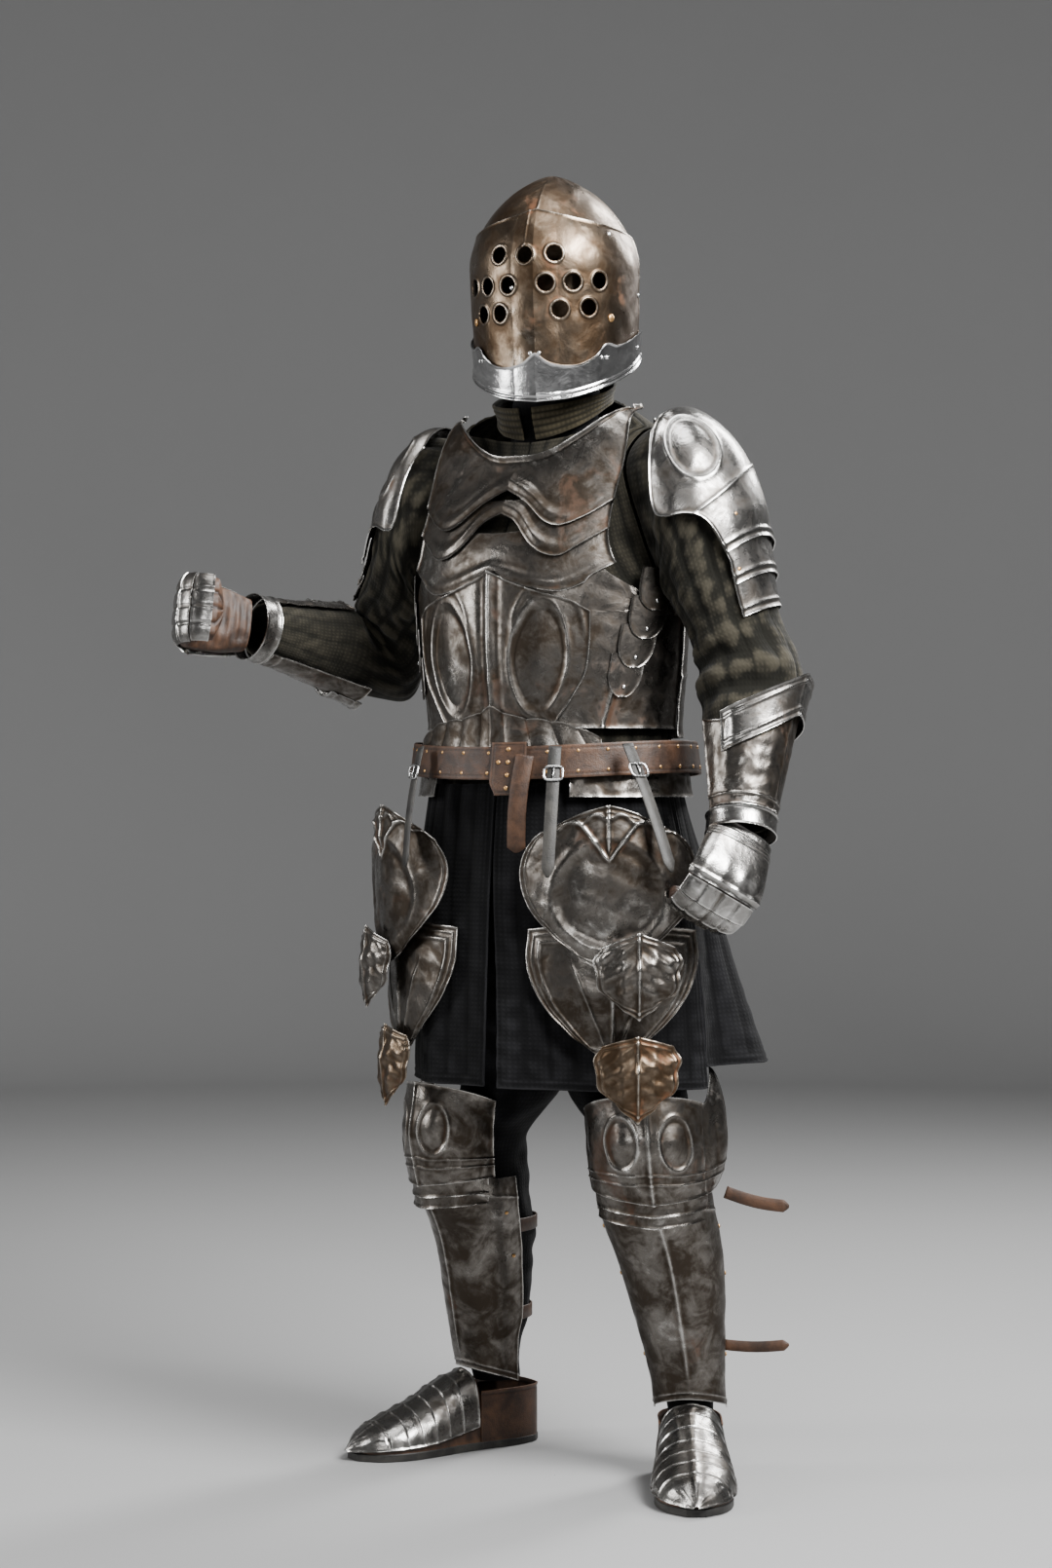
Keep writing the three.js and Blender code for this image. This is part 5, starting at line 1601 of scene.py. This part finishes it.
# ---- legs ----
def kneeTables(name, side):
    x, y, half = legShape[name]["knee"]
    turn = legShape[name]["turn"] * deg

    def shinRow(z, wide, deep, ahead):
        r = rowsAt(legShape[name]["hose"], np.array(float(z)))
        return [z, r[1] + ahead * np.sin(turn), r[2] - ahead * np.cos(turn), wide, deep, deep]

    shin = [
        shinRow(100, 51, 52, 5), shinRow(160, 55, 56, 4), shinRow(220, 63, 62, 2),
        shinRow(320, half - 8, 70, 2),
        [400, x + side, y + 20, half - 1, 80, 84], [440, x, y + 12, half - 3, 82, 84],
    ]
    knee = [
        [408, x + 2 * side, y + 12, half, 88, 84], [450, x + side, y + 4, half + 2, 93, 84],
        [490, x, y, half + 3, 98, 84], [530, x - 3 * side, y, half + 3, 96, 86],
        [572, x - 6 * side, y + 4, half + 5, 95, 88],
    ]
    return shin, knee


def addLegPlates():
    wall = legShape["plateWall"]
    for name, side in sides.items():
        shinTable, kneeTable = kneeTables(name, side)
        x, y, half = legShape[name]["knee"]
        at = limbAt(name, shinTable)
        reach = lambda z: (112 - 14 * np.clip((200 - z) / 100, 0, 1)) * deg
        foot = lambda s: 124 - 24 * np.abs(2 * s - 1) ** 1.5
        points, psi, z = patch(at, 220, 240, both(reach), [foot, 424])
        low = borderDistances(points)[2]
        relief = rolled(points, 1.8, 1.8, 1.6, 0, 3) + dents(psi * 65, z, 151, 0.6)
        relief = relief + 2.4 * bump(psi * 65, 3.5) * ease((z - 130) / 40) + 1.4 * bump(low - 10, 2.4)
        relief = relief + 1.3 * bump(z - 396 - 10 * np.cos(psi), 2.4)
        skin("greave_steel_" + name, points, "plate_steel", plateSteel, wall, "greave_" + name,
             relief=relief, inside=(x, y, 260))
        rivets = []
        for angle, z in (
            (-92, 370), (-96, 300), (92, 370), (96, 300), (-94, 180), (94, 180), (-30, 388), (30, 388),
        ):
            spot, normal = onSurface(at, angle * deg, float(z), 1.0, (x, y, z))
            rivets.append(domeParts(spot, normal, 3.2, 1.8))
        meshPiece("greave_rivets_" + name, rivets, "plate_steel", oldBrass, wear_and_relief_shading=0.3)

        knee = limbAt(name, kneeTable)

        def cop(s, t, knee=knee, side=side):
            psi = mix(-86, 98, s) * side * deg
            wing = ease((psi * side / deg - 62) / 34)
            low = mix(412 + 10 * np.abs(psi), 424, wing)
            high = mix(566 - 12 * psi**2, 596, wing)
            out = 26 * wing * np.maximum(0, np.sin(pi * t)) ** 0.6
            return knee(psi, mix(low, high, t), out)

        points, s, t = patch(cop, 260, 190, [0, 1], [0, 1])
        angle = mix(-86, 98, s)
        relief = rolled(points, 1.6, 2.0, 1.6, 1.8, 3) + dents(angle * 1.6, t * 160, 152, 0.5)
        relief = relief + 3.0 * bump(angle, 2.4) + 1.2 * bump(angle - 62, 1.6)
        relief = relief + dish((np.abs(angle) - 27) / 17, (t - 0.56) / 0.26, 1.5, 2.6, 3.2)
        peak = 0.1 + 0.03 * bump(angle / 16, 1)
        relief = relief + 1.4 * bump(t - peak - 0.06, 0.014) + 1.4 * bump(t - peak - 0.15, 0.014)
        relief = relief + 1.6 * np.abs(np.sin(angle / 5)) * bump(angle - 82, 12) * np.sin(pi * t)
        skin("poleyn_steel_" + name, points, "plate_steel", plateSteel, wall, "poleyn_" + name,
             relief=relief, inside=(x, y, 490))

        # two small lames under the knee plate
        for k, (low, high, out) in enumerate(((404, 440, -3.4), (388, 414, -5.6))):
            points, psi, z = patch(
                lambda psi, z: limbAt(name, kneeTable)(psi, np.maximum(z, 408), out)
                - xyz(0, 0, np.maximum(408 - z, 0)),
                180, 30, [-80 * deg, 80 * deg],
                [lambda s: low - 10 * (1 - np.abs(2 * s - 1)), high],
            )
            skin(f"poleyn_lame_{k}_{name}", points, "plate_steel", plateSteel, 1.1,
                 relief=rolled(points, 1, 1, 1.4, 0, 2.6) + 0.3 * waves(psi * 80, z, 30, 153),
                 inside=(x, y, 420), blur=6)


def addGreaveStraps():
    def tail(start, end, sag, width):
        start, end = np.array(start, float), np.array(end, float)
        t = np.linspace(0, 1, 36)
        path = start + (end - start) * t[:, None]
        path[:, 2] += -sag * np.sin(pi * t) + 0.35 * sag * t
        return bandParts(path, (0, 0, 1), width, 2.4, pointedEnd(36, 4))

    upper, lower = tail((246, 62, 420), (330, 96, 400), 4, 18), tail((212, 124, 190), (298, 158, 192), 3, 16)
    meshPiece("strap_tail_upper", [upper], "leather", brownLeather, "greave_strap_left_upper", wear_and_relief_shading=0.1)
    meshPiece("strap_tail_lower", [lower], "leather", brownLeather, "greave_strap_left_lower", wear_and_relief_shading=0.1)
    # straps round the calves, lying on the cloth between the greave's back edges
    for name, side in sides.items():
        at = limbAt(name, legShape[name]["hose"])
        for k, z in enumerate((345, 205)):
            psi = np.linspace(96, 264, 60) * deg
            path = at(psi, np.full_like(psi, float(z)), 6.5)
            strap = bandParts(path, (0, 0, 1), 20, 2.6)
            meshPiece(f"calf_strap_{k}_{name}", [strap], "leather", brownLeather, wear_and_relief_shading=0.1)


# ---- shoes ----
shoeTable = [
    # along the foot, half width, height, power of the section
    [0, 20, 78, 0.6], [14, 34, 112, 0.6], [45, 43, 142, 0.55], [92, 44, 118, 0.55], [125, 44, 108, 0.65],
    [160, 47, 98, 0.75], [205, 53, 74, 0.85], [252, 52, 55, 0.85], [290, 38, 40, 0.85], [314, 12, 24, 0.9],
]


def shoeAt(name):
    heel, toe = np.array(legShape[name]["heel"], float), np.array(legShape[name]["toe"], float)
    way = unit(toe - heel)
    across = np.array([-way[1], way[0]])

    def at(psi, u, out=0.0, floor=12.0):
        r = rowsAt(shoeTable, u)
        half, high, power = r[..., 1], r[..., 2], r[..., 3]
        v = (half + out) * np.sign(np.sin(psi)) * np.abs(np.sin(psi)) ** power
        z = floor + (high - floor + out) * np.maximum(0, np.cos(psi)) ** power
        return xyz(heel[0] + way[0] * u + across[0] * v, heel[1] + way[1] * u + across[1] * v, z)

    return at, heel, way, across


def addShoes():
    for name, side in sides.items():
        at, heel, way, across = shoeAt(name)
        middle = (*(heel + way * 150), 30)
        for part, start, end, cut in (("heel", 0.4, 116, True), ("toe", 116.3, 314.1, False)):

            def shell(s, u, at=at):
                psi = mix(-90, 90, s) * deg
                draw = np.sqrt(np.clip((314.2 - u) / 12, 0, 1))[..., None]
                points = at(psi, u)
                centre = xyz(heel[0] + way[0] * u, heel[1] + way[1] * u, 13.0)
                return centre + (points - centre) * draw

            if cut:
                # the quarters: a wall round the heel, open at the top for the foot
                def quarters(s, t, at=at):
                    turn = mix(-1, 1, s)
                    u = 116 - 115 * (1 - np.abs(turn) ** 2.2)
                    edge = at(np.sign(turn) * 90 * deg, np.maximum(u, 0.4), 1.0)
                    keep = np.minimum(np.abs(turn) * 6, 1)[..., None]
                    centre = xyz(heel[0] + way[0] * u, heel[1] + way[1] * u, 12.0)
                    place = centre + (edge - centre) * keep
                    instep = rowsAt(shoeTable, np.maximum(u, 20))[..., 2]
                    high = np.minimum(88.0, instep - 14 * (1 - np.abs(turn)))
                    place[..., 2] = mix(11.0, high, t)
                    return place

                points, s, t = patch(quarters, 150, 60, [0, 1], [0, 1])
                relief = rolled(points, 0, 0, 0, 1.2, 3) - 0.8 * bump(borderDistances(points)[3] - 6, 1.2)
            else:
                points, s, t = patch(shell, 140, 170, [0, 1], [start, end])
                relief = 0.7 * waves(s * 110, t, 26, 161) * ease((313 - t) / 30)
                creases = 1.2 * np.sin(t / 5) * bump((t - 215) / 22, 1)
                relief = relief + creases * ease(1.2 - np.abs(2 * s - 1))
            skin(f"shoe_{part}_{name}", points, "leather", brownLeather, 2.2,
                 ["shoe_" + name] if not cut else None, relief=relief, inside=middle, blur=8)

        # the sole: a flat slab round the foot's outline
        u = np.concatenate([np.linspace(0, 314, 60), np.linspace(314, 0, 60)])
        turn = np.where(np.arange(120) < 60, 1.0, -1.0)
        rows = rowsAt(shoeTable, u)
        v = turn * (rows[:, 1] + 1.5)
        ring = xyz(heel[0] + way[0] * u + across[0] * v, heel[1] + way[1] * u + across[1] * v, 0.0)
        layers = []
        for z, grow in ((0.0, 0.965), (1.2, 1.0), (10.5, 1.0), (12.0, 0.985)):
            layer = (ring - ring.mean(0)) * grow + ring.mean(0)
            layer[:, 2] = z
            layers.append(layer)
        faces = ringFaces(4, 120)
        points = np.concatenate(layers)
        meshPiece("sole_" + name, [(points, outwardFaces(points - points.mean(0), faces))], "leather",
                  greyLeather, smooth=False)

        # the sabaton: overlapping lames from the ankle to the toe
        starts = [122, 150, 176, 200, 224, 248, 274]
        for k, start in enumerate(starts):
            end = starts[k + 1] + 7 if k + 1 < len(starts) else 323
            out = 4.4 if k + 1 < len(starts) else 3.4

            def lame(psi, u, start=start, end=end, out=out):
                points = at(psi, u, out + 1.6 * (1 - (u - start) / (end - start)))
                draw = np.sqrt(np.clip((323.5 - u) / 10, 0, 1))[..., None]
                centre = xyz(heel[0] + way[0] * u, heel[1] + way[1] * u, 14.0)
                return centre + (points - centre) * draw

            points, psi, u = patch(lame, 150, 44, [-84 * deg, 84 * deg], [start, end])
            relief = rolled(points, 1.4, 1.4, 1.2, 0.8, 2.2) + 2.2 * bump(psi / deg, 5)
            relief = relief + 0.3 * waves(psi * 45, u, 22, 162 + k)
            skin(f"sabaton_lame_{k}_{name}", points, "plate_steel", shoulderSteel, 1.1,
                 "sabaton_" + name if k == 0 else None, relief=relief, inside=middle, blur=6)


addTassets()
addLegPlates()
addGreaveStraps()
addShoes()
print("tassets, legs and shoes made")


# ---- studio ----
studio = {
    "floorRadius": 7.5,
    "wallHeight": 5.0,
    "bend": 1.6,
    "floorGrey": 0.27,
    "world": 0.10,
    # azimuth, elevation, distance, width, height, watts
    "key": (72, 38, 3.4, 1.5, 1.5, 400),
    "left": (-48, 16, 3.6, 0.6, 2.2, 80),
    "back": (168, 40, 3.6, 0.7, 2.0, 190),
    "top": (20, 80, 3.4, 1.6, 1.6, 75),
    "front": (22, 12, 5.6, 1.2, 1.2, 45),
}


def addFloor():
    # a floor that curves up into a round wall
    radius, high, bend = studio["floorRadius"], studio["wallHeight"], studio["bend"]
    turn = np.linspace(0, pi / 2, 24)
    reach = np.concatenate([[0.001, 1, 2, 3.5, 5], radius - bend + bend * np.sin(turn), [radius]])
    rise = np.concatenate([[0, 0, 0, 0, 0], bend * (1 - np.cos(turn)), [high]])
    angle = np.linspace(0, 2 * pi, 96, endpoint=False)
    points = xyz(reach[:, None] * np.cos(angle), reach[:, None] * np.sin(angle), rise[:, None] + 0 * angle)
    tall, wide = points.shape[:2]
    j, i = np.meshgrid(np.arange(tall - 1), np.arange(wide), indexing="ij")
    k = (i + 1) % wide
    quads = np.stack([j * wide + i, j * wide + k, (j + 1) * wide + k, (j + 1) * wide + i], -1).reshape(-1, 4)
    mesh = bpy.data.meshes.new("floor")
    middle = [tuple(range(wide))]
    place = points.reshape(-1, 3) + np.array([0, 0, floorLevel])
    mesh.from_pydata(place.tolist(), [], quads.tolist() + middle)
    floor = bpy.data.objects.new("floor", mesh)
    bpy.context.scene.collection.objects.link(floor)
    material, tree = newMaterial("floorPaper")
    where = node(tree, "TexCoord").outputs["Object"]
    grey = studio["floorGrey"]
    tone = colours(tree, noise(tree, where, 1.5, 3), (grey * 0.98,) * 3, (grey * 1.02,) * 3)
    finished(tree, {"Base Color": tone, "Roughness": 0.9})
    mesh.materials.append(material)
    for face in mesh.polygons:
        face.use_smooth = True


def addLight(name, azimuth, elevation, distance, width, height, watts):
    lamp = bpy.data.lights.new(name, "AREA")
    lamp.shape, lamp.size, lamp.size_y, lamp.energy = "RECTANGLE", width, height, watts
    light = bpy.data.objects.new(name, lamp)
    a, e = azimuth * deg, elevation * deg
    light.location = (
        distance * np.cos(e) * np.sin(a),
        -distance * np.cos(e) * np.cos(a),
        floorLevel + 1.0 + distance * np.sin(e),
    )
    light.rotation_euler = (pi / 2 - e, 0, a)
    bpy.context.scene.collection.objects.link(light)


def addStudio():
    addFloor()
    for name in ("key", "left", "back", "top", "front"):
        addLight(name, *studio[name])
    world = bpy.data.worlds.new("studio")
    world.use_nodes = True
    ground = world.node_tree.nodes["Background"]
    ground.inputs["Color"].default_value = (1, 1, 1, 1)
    ground.inputs["Strength"].default_value = studio["world"]
    bpy.context.scene.world = world


addStudio()
print("studio made")
